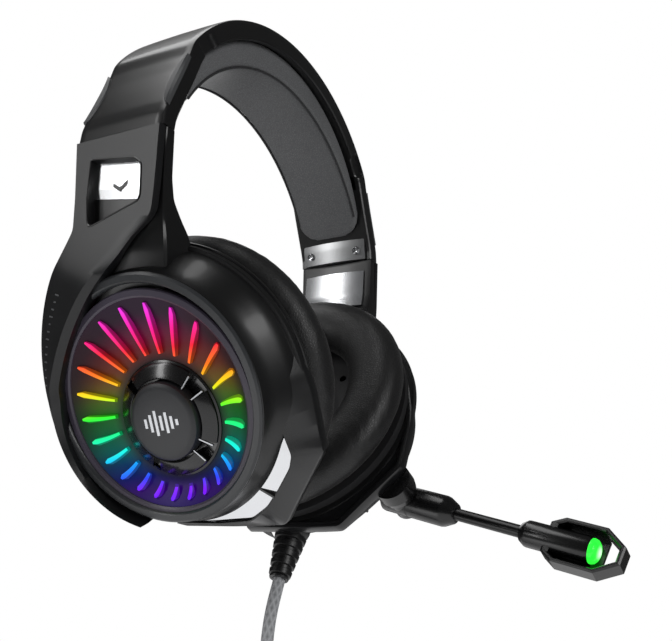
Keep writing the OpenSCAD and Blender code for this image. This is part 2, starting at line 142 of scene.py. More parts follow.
class Finish:
    """A material with a Principled shader. fixed values are set on its sockets."""

    def __init__(self, name, **fixed):
        self.material = bpy.data.materials.new(name)
        self.material.use_nodes = True
        self.tree = self.material.node_tree
        self.shader = self.tree.nodes["Principled BSDF"]
        for key, value in fixed.items():
            self.shader.inputs[key.replace("_", " ")].default_value = value
        self.start = Wire(self.tree, None)
        self.place = self.start.node("ShaderNodeTexCoord", out=3)

    def feed(self, name, wire):
        """Links a value that varies over the surface to one of the shader's sockets."""
        self.tree.links.new(wire.socket, self.shader.inputs[name])

    def noise(self, scale, detail=3.0, out=0, place=None):
        """Smooth noise in the piece's own coordinates, with scale in cycles per metre."""
        sockets = {"Vector": place or self.place, "Scale": scale, "Detail": detail}
        return self.start.node("ShaderNodeTexNoise", {}, sockets, out)

    def bump(self, height, strength, depth_mm):
        """Relief of a depth in millimetres, where height is 0 to 1."""
        sockets = {"Height": height, "Strength": strength, "Distance": depth_mm * 0.001}
        self.feed("Normal", self.start.node("ShaderNodeBump", {}, sockets))

    def tint(self, mask, dark, light):
        """A base colour that runs from dark to light with the mask."""
        sockets = {0: mask, 6: (*dark, 1), 7: (*light, 1)}
        self.feed("Base Color", self.start.node("ShaderNodeMix", {"data_type": "RGBA"}, sockets, 2))


def scaled(colour, share):
    """A colour, darker or lighter by one factor."""
    return tuple(share * c for c in colour)


def moulded(name, colour, roughness, grain=0.25, coat=0.0):
    """Moulded plastic: a fine spark-eroded grain, and a sheen that varies a little over the surface."""
    made = Finish(name, Specular_IOR_Level=0.5, Coat_Weight=coat, Coat_Roughness=0.12)
    slow = made.noise(35.0, 2.0)
    fine = made.noise(4200.0, 2.0)
    made.tint(slow, scaled(colour, 0.8), scaled(colour, 1.2))
    made.feed("Roughness", slow * 0.1 + fine * 0.06 + (roughness - 0.08))
    made.bump(fine, grain, 0.03)
    return made.material


def solid(name, rows, ends=True, ring=False, crease=32.0, seen_uv=False):
    """A closed solid from a grid of points in millimetres. Each row is a closed section, rows run along the
    piece, and its ends are capped, or joined when ring is true."""
    count, around = rows.shape[:2]
    last = count if ring else count - 1
    i, j = np.meshgrid(np.arange(last), np.arange(around), indexing="ij")
    after, beside = (i + 1) % count, (j + 1) % around
    quads = np.stack([i * around + j, i * around + beside, after * around + beside, after * around + j], -1)
    faces = quads.reshape(-1, 4).tolist()
    if ends and not ring:
        faces.append(list(range(around))[::-1])
        faces.append(list(range((count - 1) * around, count * around)))
    mesh = bpy.data.meshes.new(name)
    mesh.from_pydata((rows.reshape(-1, 3) * 0.001).tolist(), [], faces)
    if seen_uv:
        u = np.stack([i, i, i + 1, i + 1], -1).reshape(-1) / last
        v = np.stack([j, j + 1, j + 1, j], -1).reshape(-1) / around
        spare = len(mesh.loops) - len(u)
        flat = np.concatenate([np.stack([u, v], -1), np.zeros((spare, 2))])
        mesh.uv_layers.new(name="along").data.foreach_set("uv", flat.reshape(-1))
    shaped = bmesh.new()
    shaped.from_mesh(mesh)
    bmesh.ops.remove_doubles(shaped, verts=shaped.verts, dist=2e-6)
    bmesh.ops.dissolve_degenerate(shaped, dist=1e-7, edges=shaped.edges)
    bmesh.ops.recalc_face_normals(shaped, faces=shaped.faces)
    shaped.to_mesh(mesh)
    shaped.free()
    mesh.shade_smooth()
    mesh.set_sharp_from_angle(angle=math.radians(crease))
    piece = bpy.data.objects.new(name, mesh)
    bpy.context.collection.objects.link(piece)
    return piece


def carved(piece, cutter):
    """Cuts one closed solid out of another."""
    cut = piece.modifiers.new("cut", "BOOLEAN")
    cut.operation, cut.solver, cut.object = "DIFFERENCE", "EXACT", cutter
    mesh = bpy.data.meshes.new_from_object(piece.evaluated_get(bpy.context.evaluated_depsgraph_get()))
    piece.modifiers.remove(cut)
    piece.data = mesh
    mesh.shade_smooth()
    mesh.set_sharp_from_angle(angle=math.radians(26))
    return piece


def fit(piece, body, slot, material, *nodes):
    """Fastens a finished piece to its body, in place of its CAD nodes."""
    piece.data.materials.clear()
    piece.data.materials.append(material)
    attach(piece, body)
    if nodes:
        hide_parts(*nodes)
    return piece


def eased(line, ease):
    """A running mean over the rows of a line that keeps its ends."""
    padded = np.concatenate([2 * line[:1] - line[ease:0:-1], line, 2 * line[-1:] - line[-2:-ease - 2:-1]])
    kernel = np.hanning(2 * ease + 3)[1:-1]
    kernel /= kernel.sum()
    return np.stack([np.convolve(padded[:, k], kernel, "valid") for k in range(line.shape[1])], -1)


def along(points, count, ease=0):
    """A line through the points at count even steps, eased at its corners by a running mean."""
    points = np.asarray(points, float)
    run = np.concatenate([[0], np.cumsum(np.linalg.norm(np.diff(points, axis=0), axis=1))])
    at = np.linspace(0, run[-1], count)
    line = np.stack([np.interp(at, run, points[:, k]) for k in range(points.shape[1])], -1)
    return eased(line, ease) if ease else line


band_low, band_high = (np.array(corner) * 1000 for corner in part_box("band_shell"))
BAND_W = band_high[1] - band_low[1]
BAND_Y = (band_high[1] + band_low[1]) / 2
BAND_TOP = band_high[2]
SEAM_Z = band_low[2]
BAND_R = 85.5
BAND_C = BAND_TOP - BAND_R
LEG = [(84.2, SEAM_Z), (83.5, 89.5), (82.0, 94), (78.5, 102.2), (74.9, 110.6), (71.9, 118), (70.2, 123.3)]


def band_line(count):
    """The skin's line in the front view, from the right seam over the head to the left seam."""
    sweep = np.radians(np.linspace(145, 35, 80))
    arc = np.stack([BAND_R * np.cos(sweep), BAND_C + BAND_R * np.sin(sweep)], -1)[1:-1]
    leg = np.array(LEG)
    line = along(np.concatenate([leg * [-1, 1], arc, leg[::-1]]), count, 2)
    ahead = np.gradient(line, axis=0)
    ahead /= np.linalg.norm(ahead, axis=1, keepdims=True)
    return line, np.stack([ahead[:, 1], -ahead[:, 0]], -1)


line, inward = band_line(330)
turned = np.degrees(np.arctan2(line[:, 1] - BAND_C, line[:, 0]))
off_top = np.abs(turned - 90)
on_leg = np.clip((off_top - 55.5) / 3, 0, 1)
depth = 7.8 - 0.5 * on_leg
channel = 2.8 * (1 - on_leg) + (depth - 0.02) * on_leg
dent = 1.5 * np.clip(1 - np.abs((off_top - 49.5) / 4.2) ** 6, 0, 1)
half = np.full_like(depth, BAND_W / 2)
zero = np.zeros_like(depth)
one_side = [
    (zero, zero - 0.32), (half * 0.5, zero - 0.24), (half * 0.82, zero - 0.1), (half - 1.2, zero),
    (half - 0.35, zero + 0.35), (half, zero + 1.2), (half, zero + 2.0), (half - dent, zero + 2.3),
    (half - dent, depth - 0.6), (half - dent - 0.5, depth), (half - 2.5, depth), (half - 2.5, channel),
    (zero, channel)
]
section = one_side + [(-w, d) for w, d in one_side[-2:0:-1]]
w = np.stack([w for w, d in section], -1)
d = np.stack([d for w, d in section], -1)
rows = np.stack([
    line[:, :1] + inward[:, :1] * d, BAND_Y + w,
    np.maximum(line[:, 1:] + inward[:, 1:] * d, SEAM_Z)
], -1)
shell_black = moulded("shell_black", (0.0042, 0.0043, 0.0046), 0.32, 0.12, 0.2)
fit(solid("band_shell_skin", rows), "headband", "shell_black", shell_black, "band_shell")


# Spring strip and liner. A thin steel strip and a black plastic liner that lie
# in the shell's open side; the pad hides most of both.
def brushed(name, colour, roughness, stretch=(1, 1, 60)):
    """Brushed metal: fine scratches drawn out along one way of the piece."""
    made = Finish(name, Metallic=1.0)
    drawn = made.start.node("ShaderNodeMapping", {}, {"Vector": made.place, "Scale": stretch})
    scratch = made.noise(900.0, 4.0, place=drawn)
    made.tint(scratch, scaled(colour, 0.85), scaled(colour, 1.1))
    made.feed("Roughness", scratch * 0.22 + (roughness - 0.1))
    made.bump(scratch, 0.12, 0.02)
    return made.material


def dress(node, material):
    """Gives a CAD node that keeps its own shape a better material."""
    piece = frame["nodes"][node]
    piece.data.materials.clear()
    piece.data.materials.append(material)


spring_steel = brushed("spring_steel", (0.52, 0.53, 0.55), 0.3, (60, 60, 1))
liner_black = moulded("liner_plastic", (0.016, 0.016, 0.017), 0.55)
dress("band_spring", spring_steel)
dress("band_liner", liner_black)


# Head pad. A long foam pad under soft grey protein leather: a flat middle
# panel, a sewn crease on each side of it and rolled borders, with round ends.
def leather(name, dark, light, roughness, grain_mm=0.55, bump=0.5):
    """Protein leather: small pebbles between fine creases, a softer sheen on their tops, and slow shading."""
    made = Finish(name, Specular_IOR_Level=0.5, Sheen_Weight=0.08, Sheen_Roughness=0.4)
    warp = made.noise(260.0, 3.0, 1)
    sockets = {0: warp, 1: (0.0012,) * 3, 2: made.place}
    bent = made.start.node("ShaderNodeVectorMath", {"operation": "MULTIPLY_ADD"}, sockets)
    sockets = {"Vector": bent, "Scale": 1000 / grain_mm / 1.7}
    cells = made.start.node("ShaderNodeTexVoronoi", {"feature": "DISTANCE_TO_EDGE"}, sockets)
    pebble = cells.between(0.0, 0.32)
    slow = made.noise(30.0, 3.0)
    made.tint(pebble * 0.45 + slow * 0.55, dark, light)
    made.feed("Roughness", (1 - pebble) * 0.16 + slow * 0.12 + (roughness - 0.08))
    made.bump(pebble * 0.6 + made.noise(1500.0, 2.0) * 0.25 + slow * 0.6, bump, 0.12)
    return made.material


def puffed(piece, pinned, pressure, cap_mm, voxel_mm=2.4, frames=14):
    """Swells a closed cover as stuffed cloth: the piece is remeshed and blown up by the cloth solver with its
    pinned part held, and no point moves further than the cap."""
    low_detail = piece.modifiers.new("even", "REMESH")
    low_detail.mode = "VOXEL"
    low_detail.voxel_size = voxel_mm * 0.001
    view = bpy.context.evaluated_depsgraph_get()
    even = bpy.data.meshes.new_from_object(piece.evaluated_get(view))
    piece.modifiers.remove(low_detail)
    piece.data = even
    start = np.empty(len(even.vertices) * 3)
    even.vertices.foreach_get("co", start)
    start = start.reshape(-1, 3)
    held = piece.vertex_groups.new(name="held")
    held.add(np.nonzero(pinned(start * 1000))[0].tolist(), 1.0, "REPLACE")
    cloth = piece.modifiers.new("cloth", "CLOTH")
    cloth.settings.quality = 5
    cloth.settings.mass = 0.3
    cloth.settings.vertex_group_mass = "held"
    cloth.settings.use_pressure = True
    cloth.settings.uniform_pressure_force = pressure
    cloth.settings.effector_weights.gravity = 0
    cloth.settings.tension_stiffness = 12
    cloth.settings.shear_stiffness = 6
    cloth.settings.bending_stiffness = 0.4
    cloth.collision_settings.use_collision = False
    for step in range(1, frames + 1):
        bpy.context.scene.frame_set(step)
    blown = bpy.data.meshes.new_from_object(piece.evaluated_get(bpy.context.evaluated_depsgraph_get()))
    end = np.empty(len(blown.vertices) * 3)
    blown.vertices.foreach_get("co", end)
    moved = end.reshape(-1, 3) - start
    far = np.linalg.norm(moved, axis=1, keepdims=True)
    moved *= np.minimum(1, cap_mm * 0.001 / np.maximum(far, 1e-9))
    piece.modifiers.remove(cloth)
    bpy.data.meshes.remove(blown)
    even.vertices.foreach_set("co", (start + moved).reshape(-1))
    bpy.context.scene.frame_set(1)
    even.shade_smooth()
    even.update()
    finer = piece.modifiers.new("finer", "SUBSURF")
    finer.levels = finer.render_levels = 1
    return piece


PAD_END = 74.0
PAD_ROUND = 8


def pad_face(swing):
    """The radius of the pad's lower face, in millimetres: least under the crown, and more towards the ends
    by a power of the angle."""
    return 65.6 + 7.0 * (np.abs(swing) / 73) ** 2.2


swing = np.linspace(-PAD_END, PAD_END, 150)
past_end = np.clip((np.abs(swing) - (PAD_END - PAD_ROUND)) / PAD_ROUND, 0, 1)
end_round = np.sqrt(np.clip(1 - past_end ** 2, 0.0004, 1))
face_r = pad_face(swing)
back_r = 79.5 - 3.5 * (np.abs(swing) / 73) ** 2
profile = along([
    (0, 0), (13.6, 0), (15.8, 0.06), (16.4, 0.3), (16.5, 0.6), (16.1, 0.86), (15.2, 0.95), (14.2, 0.99),
    (10.2, 1.04), (6, 1.06), (0, 1.07)
], 44)
profile = np.concatenate([profile, profile[-2:0:-1] * [-1, 1]])
w = profile[:, 0] * (0.35 + 0.65 * end_round[:, None])
middle = (face_r + back_r)[:, None] / 2
through = back_r[:, None] + profile[:, 1] * (face_r - back_r)[:, None]
reach = middle + (through - middle) * end_round[:, None]
a = np.radians(90 - swing)[:, None]
rows = np.stack([reach * np.cos(a), BAND_Y + w, BAND_C + reach * np.sin(a)], -1)
grey_leather = leather("grey_leather", (0.085, 0.087, 0.09), (0.17, 0.173, 0.178), 0.48)


def pad_held(points):
    """The pad is held along its back and along both sewn edges."""
    r = np.hypot(points[:, 0], points[:, 2] - BAND_C)
    return (r > 74) | (np.abs(np.abs(points[:, 1] - BAND_Y) - 15.6) < 0.9)


pad = puffed(solid("band_pad_cover", rows), pad_held, 3.0, 0.8, 1.25, 8)
fit(pad, "headband", "grey_leather", grey_leather, "band_pad")
EDGES = ((-1, "front"), (1, "rear"))
# Along each sewn crease lies a thin tube of near-black leather: its dark colour is painted shade in the
# crease.
CREASE_TUBE_R = 0.55
crease_shade_leather = leather("crease_shade_leather", (0.012, 0.012, 0.013), (0.03, 0.03, 0.032), 0.5)
for front, front_name in EDGES:
    inner_sweep = np.linspace(-PAD_END + 7, PAD_END - 7, 150)
    edge_r = pad_face(inner_sweep) + CREASE_TUBE_R
    a = np.radians(90 - inner_sweep)
    seam = np.stack([edge_r * np.cos(a), BAND_Y + front * 15.55 + 0 * a, BAND_C + edge_r * np.sin(a)], -1)
    turn = np.linspace(0, 2 * math.pi, 8, endpoint=False)
    out_way = np.stack([np.cos(a), 0 * a, np.sin(a)], -1)
    ring_way = np.cos(turn)[:, None] * out_way[:, None] + np.sin(turn)[:, None] * np.array([0, 1, 0])
    rows = seam[:, None] + CREASE_TUBE_R * ring_way
    fit(solid("band_pad_crease_shade_" + front_name, rows, crease=60), "headband", "grey_leather", crease_shade_leather)


# Leg inlays. Slim pointed slips of matte dark grey on the corners of each
# leg's outer face, snapped in between the two steps of the leg.
inlay_grey = moulded("inlay_grey", (0.06, 0.062, 0.065), 0.4, 0.3)
strip_line = along([(72.2, 117.2), (74.9, 110.6), (78.5, 102.2), (82.3, 93)], 24, 1)
SIDES = ((-1, "right"), (1, "left"))
out_way = np.array([0.866, 0.5])
taper = np.sin(np.linspace(0, math.pi, 24)) ** 0.6
for side, side_name in SIDES:
    for front, front_name in EDGES:
        edge = BAND_W / 2
        across = np.array([
            (edge - 4.0, -0.3), (edge - 3.6, 0.6), (edge - 1.2, 0.8), (edge - 0.1, 0.1),
            (edge + 0.25, -1.2), (edge - 0.5, -1.5)
        ])
        wide = (across[:, 0] - edge) * (0.25 + 0.75 * taper[:, None]) + edge
        lift = across[:, 1] * np.ones_like(wide)
        rows = np.stack([
            side * (strip_line[:, :1] + out_way[0] * lift), BAND_Y + front * wide,
            strip_line[:, 1:] + out_way[1] * lift
        ], -1)
        strip = solid("leg_inlay_%s_%s" % (side_name, front_name), rows)
        nodes = ("band_strips",) if side > 0 and front > 0 else ()
        fit(strip, "headband", "inlay_grey", inlay_grey, *nodes)


# End brackets and their screws. A satin plate closes the inner side of each
# leg below the pad; it is slightly crowned, and two small screws hold it.
def crowned(side, line, middle_y, half_width, crown_mm, inward_mm, outward_mm):
    """Rows of a plate carried along a line of (sideways, up) points: its inner face bulges across its width
    as a parabola, and its outer face is flat."""
    across = np.linspace(-1, 1, 25) * half_width
    crown = crown_mm * (1 - (across / half_width) ** 2)
    y = middle_y + across + 0 * line[:, :1]
    z = line[:, 1:] + 0 * across
    inner = np.stack([line[:, :1] - inward_mm - crown, y, z], -1)
    outer = np.stack([line[:, :1] + outward_mm + 0 * crown, y, z], -1)
    return np.concatenate([inner, outer[:, ::-1]], 1) * [side, 1, 1]


bracket_satin = brushed("bracket_satin", (0.42, 0.425, 0.43), 0.3, (1, 1, 30))
plate_line = along([(74.6, 94.2), (75.0, 91), (76.4, SEAM_Z + 0.05)], 14)
for side, side_name in SIDES:
    plate = solid("end_bracket_" + side_name, crowned(side, plate_line, BAND_Y, 17.2, 1.5, 0.5, 0.8))
    nodes = ("end_plates",) if side > 0 else ()
    fit(plate, "headband", "bracket_satin", bracket_satin, *nodes)

screw_steel = brushed("screw_steel", (0.72, 0.73, 0.75), 0.2, (1, 1, 1))
turn = np.linspace(0, 2 * math.pi, 28, endpoint=False)
for side, side_name in SIDES:
    for y, y_name in ((-12.75, "front"), (12.75, "rear")):
        head = np.array([
            (0.05, 74.4), (0.9, 74.4), (1.1, 73.4), (1.5, 73.2), (1.9, 73.5), (2.0, 75.6), (0.05, 76)
        ])
        rows = np.stack([
            side * (head[:, 1] + 0 * turn[:, None]), BAND_Y + y + head[:, 0] * np.cos(turn)[:, None],
            88.6 + head[:, 0] * np.sin(turn)[:, None]
        ], -1)
        screw = solid("end_screw_%s_%s" % (side_name, y_name), rows, ring=True)
        fit(screw, "headband", "screw_steel", screw_steel, *(("end_screws",) if side > 0 and y > 0 else ()))


# Sliders. Bent steel strips, fast in the arms, that run up inside the legs;
# they show only when an arm is drawn out.
dress("slider_left", spring_steel)
dress("slider_right", spring_steel)


# Arm blocks. Each carries its cup. The outer half hides under the arm cover;
# the front face breaks along a ridge into a pointed foot on the cup's rim.
hinge = next(joint for joint in frame["record"]["behaviour"]["joints"] if joint["name"] == "mic_hinge")
TILT = math.asin(hinge["axis"][2])
COS, SIN = math.cos(TILT), math.sin(TILT)
CUP_X = 42.1


def on_cup(side, out, rear, up):
    """From one cup's frame, outward, rearward and up the cup, to the room's, in millimetres."""
    out, rear, up = np.broadcast_arrays(out, rear, up)
    return np.stack([side * (CUP_X + COS * out + SIN * up), rear, COS * up - SIN * out], -1)


WINDOW = along([
    (11.3, 75.6), (-9.1, 72.5), (-12.2, 69.8), (-12.9, 58.3), (-12.2, 56), (9, 49.8), (10.2, 51),
    (11.5, 60.7), (11.3, 75.6)
], 90, 1)[:-1]


def slab(name, side, outline, low, high):
    """A prism through an arm: an outline of (rearward, up) points carried from one distance off the headset's
    middle plane to another."""
    rows = np.stack([
        np.stack([side * (x + 0 * outline[:, 0]), BAND_Y + outline[:, 0], outline[:, 1]], -1)
        for x in (low, high)
    ])
    return solid(name, rows)


# Each corner of the block's section, (sideways, rearward), at each of these heights.
LEVELS = np.array([SEAM_Z - 0.4, 66, 58, 52, 46, 40, 31, 22])
FOOT = {
    "inner_front": [
        (77.0, -14.9), (76.3, -14.9), (74.6, -15.1), (70.5, -15.8), (66.6, -17.2), (64.5, -17), (64, -12),
        (62, -10)
    ],
    "ridge": [
        (81, -14.95), (81.4, -15), (81.4, -15.3), (80.8, -15.4), (79.2, -15.3), (77.6, -15.1), (75, -14.2),
        (72, -10)
    ],
    "outer_front": [
        (81.5, -14.7), (81.5, -14.5), (81.5, -14.2), (81.5, -13.2), (81.5, -8.5), (81, -2.5), (76, 2),
        (70, 4)
    ],
    "outer_rear": [
        (81.5, 23.5), (81.5, 21.7), (81.5, 21.1), (81.5, 20.9), (81.5, 22), (81, 24), (76, 25), (70, 23)
    ],
    "inner_rear": [
        (77.4, 24.2), (76.3, 23.4), (74.2, 22.6), (70.4, 22), (67, 21.5), (64.5, 20), (62, 18), (60, 16)
    ],
}
BLOCK_STEPS = 70
heights = np.linspace(LEVELS[0], LEVELS[-1], BLOCK_STEPS)
corners = np.stack([
    np.stack([np.interp(-heights, -LEVELS, np.array(pairs)[:, k]) for k in (0, 1)], -1)
    for pairs in FOOT.values()
], 1)
corners = eased(corners.reshape(BLOCK_STEPS, -1), 2).reshape(BLOCK_STEPS, -1, 2)
after = np.roll(corners, -1, 1)
fine = np.concatenate([corners * (1 - s) + after * s for s in (0.06, 0.5, 0.94)], 2)
fine = fine.reshape(BLOCK_STEPS, -1, 2)
for side, side_name in SIDES:
    rows = np.stack([side * fine[..., 0], fine[..., 1], heights[:, None] + 0 * fine[..., 0]], -1)
    block = solid("arm_block_" + side_name, rows, crease=18)
    fit(block, "arm_" + side_name, "shell_black", shell_black, "arm_frame_" + side_name)


# Arm covers. A charcoal skin with a window in its blade; below the window it
# sweeps over the cup's rear edge as a crescent, chamfered along its inner edge.
def circle_part(centre, radius, start, stop, count):
    """Points at even angles on a circle, from start to stop in degrees."""
    a = np.radians(np.linspace(start, stop, count))
    return np.stack([centre[0] + radius * np.cos(a), centre[1] + radius * np.sin(a)], -1)


BLADE_X = 85
FACE_OUT = 26.0
RIM_OUT = 22.6
COVER_STEPS = 190
BLADE_STEPS = 70


def blade_up(z):
    """How far up the cup's frame the blade's face lies at a height: both parts turned by the cup's tilt."""
    return SIN * (BLADE_X - CUP_X) + COS * z


inner_blade = [
    (-14.9, blade_up(SEAM_Z - 0.4)), (-14.7, blade_up(60)), (-14.2, blade_up(51)), (-12.6, blade_up(48.2)),
    (-5.6, 57.3), (0.8, 51.1)
]
outer_blade = [
    (24.3, blade_up(SEAM_Z - 0.4)), (22.4, blade_up(62)), (21.9, blade_up(50)), (22.7, blade_up(47.7))
]
inner_arc = np.concatenate([
    circle_part((-55, -38), 104.7, 54, 25, 40), circle_part((2.56, -8.37), 38.75, 19, -73, 60)
])
outer_arc = np.concatenate([circle_part((-30, 2), 77.7, 43, 4, 40), circle_part((0, 0), 47.5, 2, -73.5, 60)])
inner_edge = [along(inner_blade, BLADE_STEPS, 2), along(inner_arc, COVER_STEPS - BLADE_STEPS, 3)]
outer_edge = [along(outer_blade, BLADE_STEPS, 2), along(outer_arc, COVER_STEPS - BLADE_STEPS, 3)]
inner_edge = eased(np.concatenate(inner_edge), 2)
outer_edge = eased(np.concatenate(outer_edge), 3)
wide = np.linalg.norm(outer_edge - inner_edge, axis=1)
down = np.clip((blade_up(50) - inner_edge[:, 1]) / 14, 0, 1)
chamfer = np.minimum(0.6 + 2.4 * down, 0.4 * wide + 0.05)
share = (chamfer / np.maximum(wide, 0.1))[:, None]


def cover_height(up, level):
    """The face's height along the cup's axis: the lower of the crescent's own level and the upright blade."""
    upright = COS * (BLADE_X - CUP_X) - SIN * (up - SIN * (BLADE_X - CUP_X)) / COS
    gap = upright - level
    return level - np.where(gap > 0, 0, -gap) - 0.6 * np.exp(-np.abs(gap) / 1.2)


inner_crest = inner_edge + (outer_edge - inner_edge) * share
columns = [(inner_edge, FACE_OUT - 4.6 * down - 3.2), (inner_edge, FACE_OUT - 1.5 * down - 0.3)]
for s in np.linspace(0, 1, 9):
    between = inner_crest * (1 - s) + outer_edge * s
    columns.append((between, FACE_OUT * (1 - s) + RIM_OUT * s - 0.3 * (s > 0.99)))
columns.append((outer_edge, RIM_OUT - 0.9 + 0 * down))
columns.append((outer_edge * (1 - 0.02 * down[:, None]), RIM_OUT - 3.0 - 1.4 * down))
drop = [3.2, 0.35] + [0.0] * 9 + [0.8, 3.2]
for side, side_name in SIDES:
    parts = []
    for (edge, level), less in zip(columns, drop):
        height = cover_height(edge[:, 1], level + less) - less
        parts.append(on_cup(side, height, edge[:, 0], edge[:, 1]))
    rows = np.stack(parts, 1)
    rows[..., 2] = np.minimum(rows[..., 2], SEAM_Z - 0.4)
    tool = slab("window_tool", side, WINDOW, 78, 90)
    cover = carved(solid("arm_cover_skin_" + side_name, rows, crease=28), tool)
    bpy.data.objects.remove(tool)
    face = rows[:, 7]
    ahead = np.gradient(face, axis=0)
    ahead /= np.linalg.norm(ahead, axis=1, keepdims=True)
    across = rows[:, 9] - rows[:, 8]
    across /= np.linalg.norm(across, axis=1, keepdims=True)
    lift = np.cross(ahead, across)
    lift *= np.sign((lift * [side, 0, -0.4]).sum(1))[:, None]
    marked = np.nonzero((outer_edge[:, 1] < 44) & (outer_edge[:, 1] > 7))[0][::3]
    for k, i in enumerate(marked):
        tall = (1.0, 0.5, 0.75)[k % 3]
        box = [(-0.3, -tall), (0.3, -tall), (0.3, tall), (-0.3, tall)]
        mark = np.stack([
            np.stack([face[i] + a * ahead[i] + b * across[i] + up * lift[i] for a, b in box])
            for up in (-0.2, 0.06)
        ])
        fit(
            solid("cover_mark_%s_%02d" % (side_name, k + 1), mark), "arm_" + side_name, "spring_steel",
            spring_steel
        )
    charcoal = moulded("cover_charcoal_" + side_name, (0.0065, 0.0068, 0.0076), 0.36, 0.22)
    fit(cover, "arm_" + side_name, "cover_charcoal", charcoal, "arm_cover_" + side_name)


# Bowl of each cup. A satin black nylon bowl with a raised band and two fine
# grooves where it meets the baffle.
def spun(name, side, profile, centre=(0.0, 0.0), steps=128, start=0, stop=360, crease=28.0):
    """A solid turned about the cup's axis from a closed outline of (radius, outward) points. centre is its
    axis, rearward and up, and it may differ from point to point of the outline."""
    profile = np.asarray(profile, float)
    whole = stop - start >= 360
    a = np.radians(np.linspace(start, stop, steps, endpoint=not whole))[:, None]
    centre = np.broadcast_to(np.asarray(centre, float), (len(profile), 2))
    rear = centre[:, 0] - profile[:, 0] * np.cos(a)
    up = centre[:, 1] + profile[:, 0] * np.sin(a)
    return solid(name, on_cup(side, profile[:, 1] + 0 * a, rear, up), ring=whole, crease=crease)


bowl_curve = along([(51.4, 4.6), (50.6, 8), (48.7, 12), (46.6, 16.5), (45.7, 19.6), (45.6, 20.4)], 18, 2)
BOWL = [
    (50.2, -0.3), (53.2, -0.3), (53.4, 0.1), (53.4, 0.9), (52.6, 1.15), (52.5, 1.5), (52.9, 1.8),
    (52.9, 4.0), (52.5, 4.4), (51.6, 4.45)
]
BOWL += bowl_curve.tolist() + [(45.2, 20.75), (43.3, 20.75), (43.3, 18.5), (46, 12), (49, 6)]
for side, side_name in SIDES:
    bowl = spun("cup_bowl_" + side_name, side, BOWL, steps=160)
    fit(bowl, "arm_" + side_name, "shell_black", shell_black, "cup_shell_" + side_name)


# Wing. The cup's flange grows an angular corner at its lower front, and a
# sloped frame stands on it, with two openings that bare the bright trim.
WING_OUT = [
    (41.5, 30), (50.0, 12.5), (53.4, 1), (54.5, -6), (54.5, -20), (54.5, -27), (47.3, -36), (40, -45),
    (33, -54), (24, -54.4), (10, -54.6), (-11, -54.3)
]
WING_IN = [
    (36.4, 28, 14.6), (44.4, 11.5, 15.0), (45.9, 2.0, 15.7), (44.9, -8, 14), (45.3, -19.5, 12),
    (46.6, -25.5, 12), (44.8, -30, 12), (37.5, -38.6, 12), (31.4, -44.8, 12), (24.4, -48.9, 12),
    (10, -50, 11.5), (-11, -50.6, 9)
]
both = along(np.concatenate([WING_OUT, WING_IN], 1), 150, 2)
out_line, in_line = both[:, :2], both[:, 2:]
out_way = out_line / np.linalg.norm(out_line, axis=1, keepdims=True)
wing_columns = [
    (out_line - 1.0 * out_way, -0.9), (out_line - 0.2 * out_way, -0.6), (out_line, 0.0), (out_line, 3.2),
    (out_line - 0.3 * out_way, 3.9), (in_line[:, :2] + 0.45 * out_way, in_line[:, 2] - 0.2),
    (in_line[:, :2], in_line[:, 2]), (in_line[:, :2] + 0.1 * out_way, in_line[:, 2] - 0.5),
    (in_line[:, :2] + 0.2 * out_way, in_line[:, 2] - 3.5), (50.4 * out_way, 4.6 + 0 * in_line[:, 2]),
    (50.4 * out_way, 0.4), (out_line - 3.6 * out_way, 0.4), (out_line - 2.4 * out_way, -0.9)
]
for side, side_name in SIDES:
    rows = np.stack([on_cup(side, height, -edge[:, 0], edge[:, 1]) for edge, height in wing_columns], 1)
    wing = solid("cup_wing_" + side_name, rows, crease=24)
    wing_black = moulded("wing_black_" + side_name, (0.006, 0.0062, 0.0068), 0.3, 0.25, 0.2)
    fit(wing, "arm_" + side_name, "cover_charcoal", wing_black, "wing_" + side_name)
    a = np.linspace(0, 1, 12)[:, None]
    bar_mid = np.array([36.6, -40.2]) * (1 - a) + np.array([30.8, -36.6]) * a
    bar_cross = np.array([(-0.6, 0), (-0.4, 0.5), (0.4, 0.5), (0.6, 0), (0.6, -3), (-0.6, -3)])
    across_way = np.array([0.41, 0.91])
    bar = np.stack([
        bar_mid[:, :1] + across_way[0] * bar_cross[:, 0], bar_mid[:, 1:] + across_way[1] * bar_cross[:, 0],
        12.0 - 0 * a + bar_cross[:, 1]
    ], -1)
    bar = solid("wing_bar_" + side_name, on_cup(side, bar[..., 2], -bar[..., 0], bar[..., 1]))
    fit(bar, "arm_" + side_name, "cover_charcoal", shell_black)


# Bright trim. A band of mirror-bright plated plastic that lies on the bowl
# under the wing's openings.
def plated(name, colour=(0.86, 0.87, 0.89), roughness=0.05):
    """Bright plating: a mirror with a faint haze that comes and goes."""
    made = Finish(name, Metallic=1.0)
    haze = made.noise(120.0, 3.0)
    made.tint(haze, scaled(colour, 0.96), colour)
    made.feed("Roughness", haze * 0.05 + (roughness - 0.02))
    return made.material


chrome = plated("bright_chrome")
chrome_soft = plated("bright_chrome_soft", (0.8, 0.81, 0.83), 0.24)
bare = in_line[in_line[:, 1] < -16]
bare_way = bare[:, :2] / np.linalg.norm(bare[:, :2], axis=1, keepdims=True)
trim_columns = [
    (47.8 * bare_way, 12.4 + 0 * bare[:, 2]), (bare[:, :2] + 0.5 * bare_way, bare[:, 2] - 1.3),
    (bare[:, :2] + 0.5 * bare_way, bare[:, 2] - 2.3), (47.6 * bare_way, 11 + 0 * bare[:, 2])
]
for side, side_name in SIDES:
    rows = np.stack([on_cup(side, height, -edge[:, 0], edge[:, 1]) for edge, height in trim_columns], 1)
    trim = solid("cup_trim_" + side_name, rows)
    fit(trim, "arm_" + side_name, "bright_chrome", chrome, "chrome_trim_" + side_name)


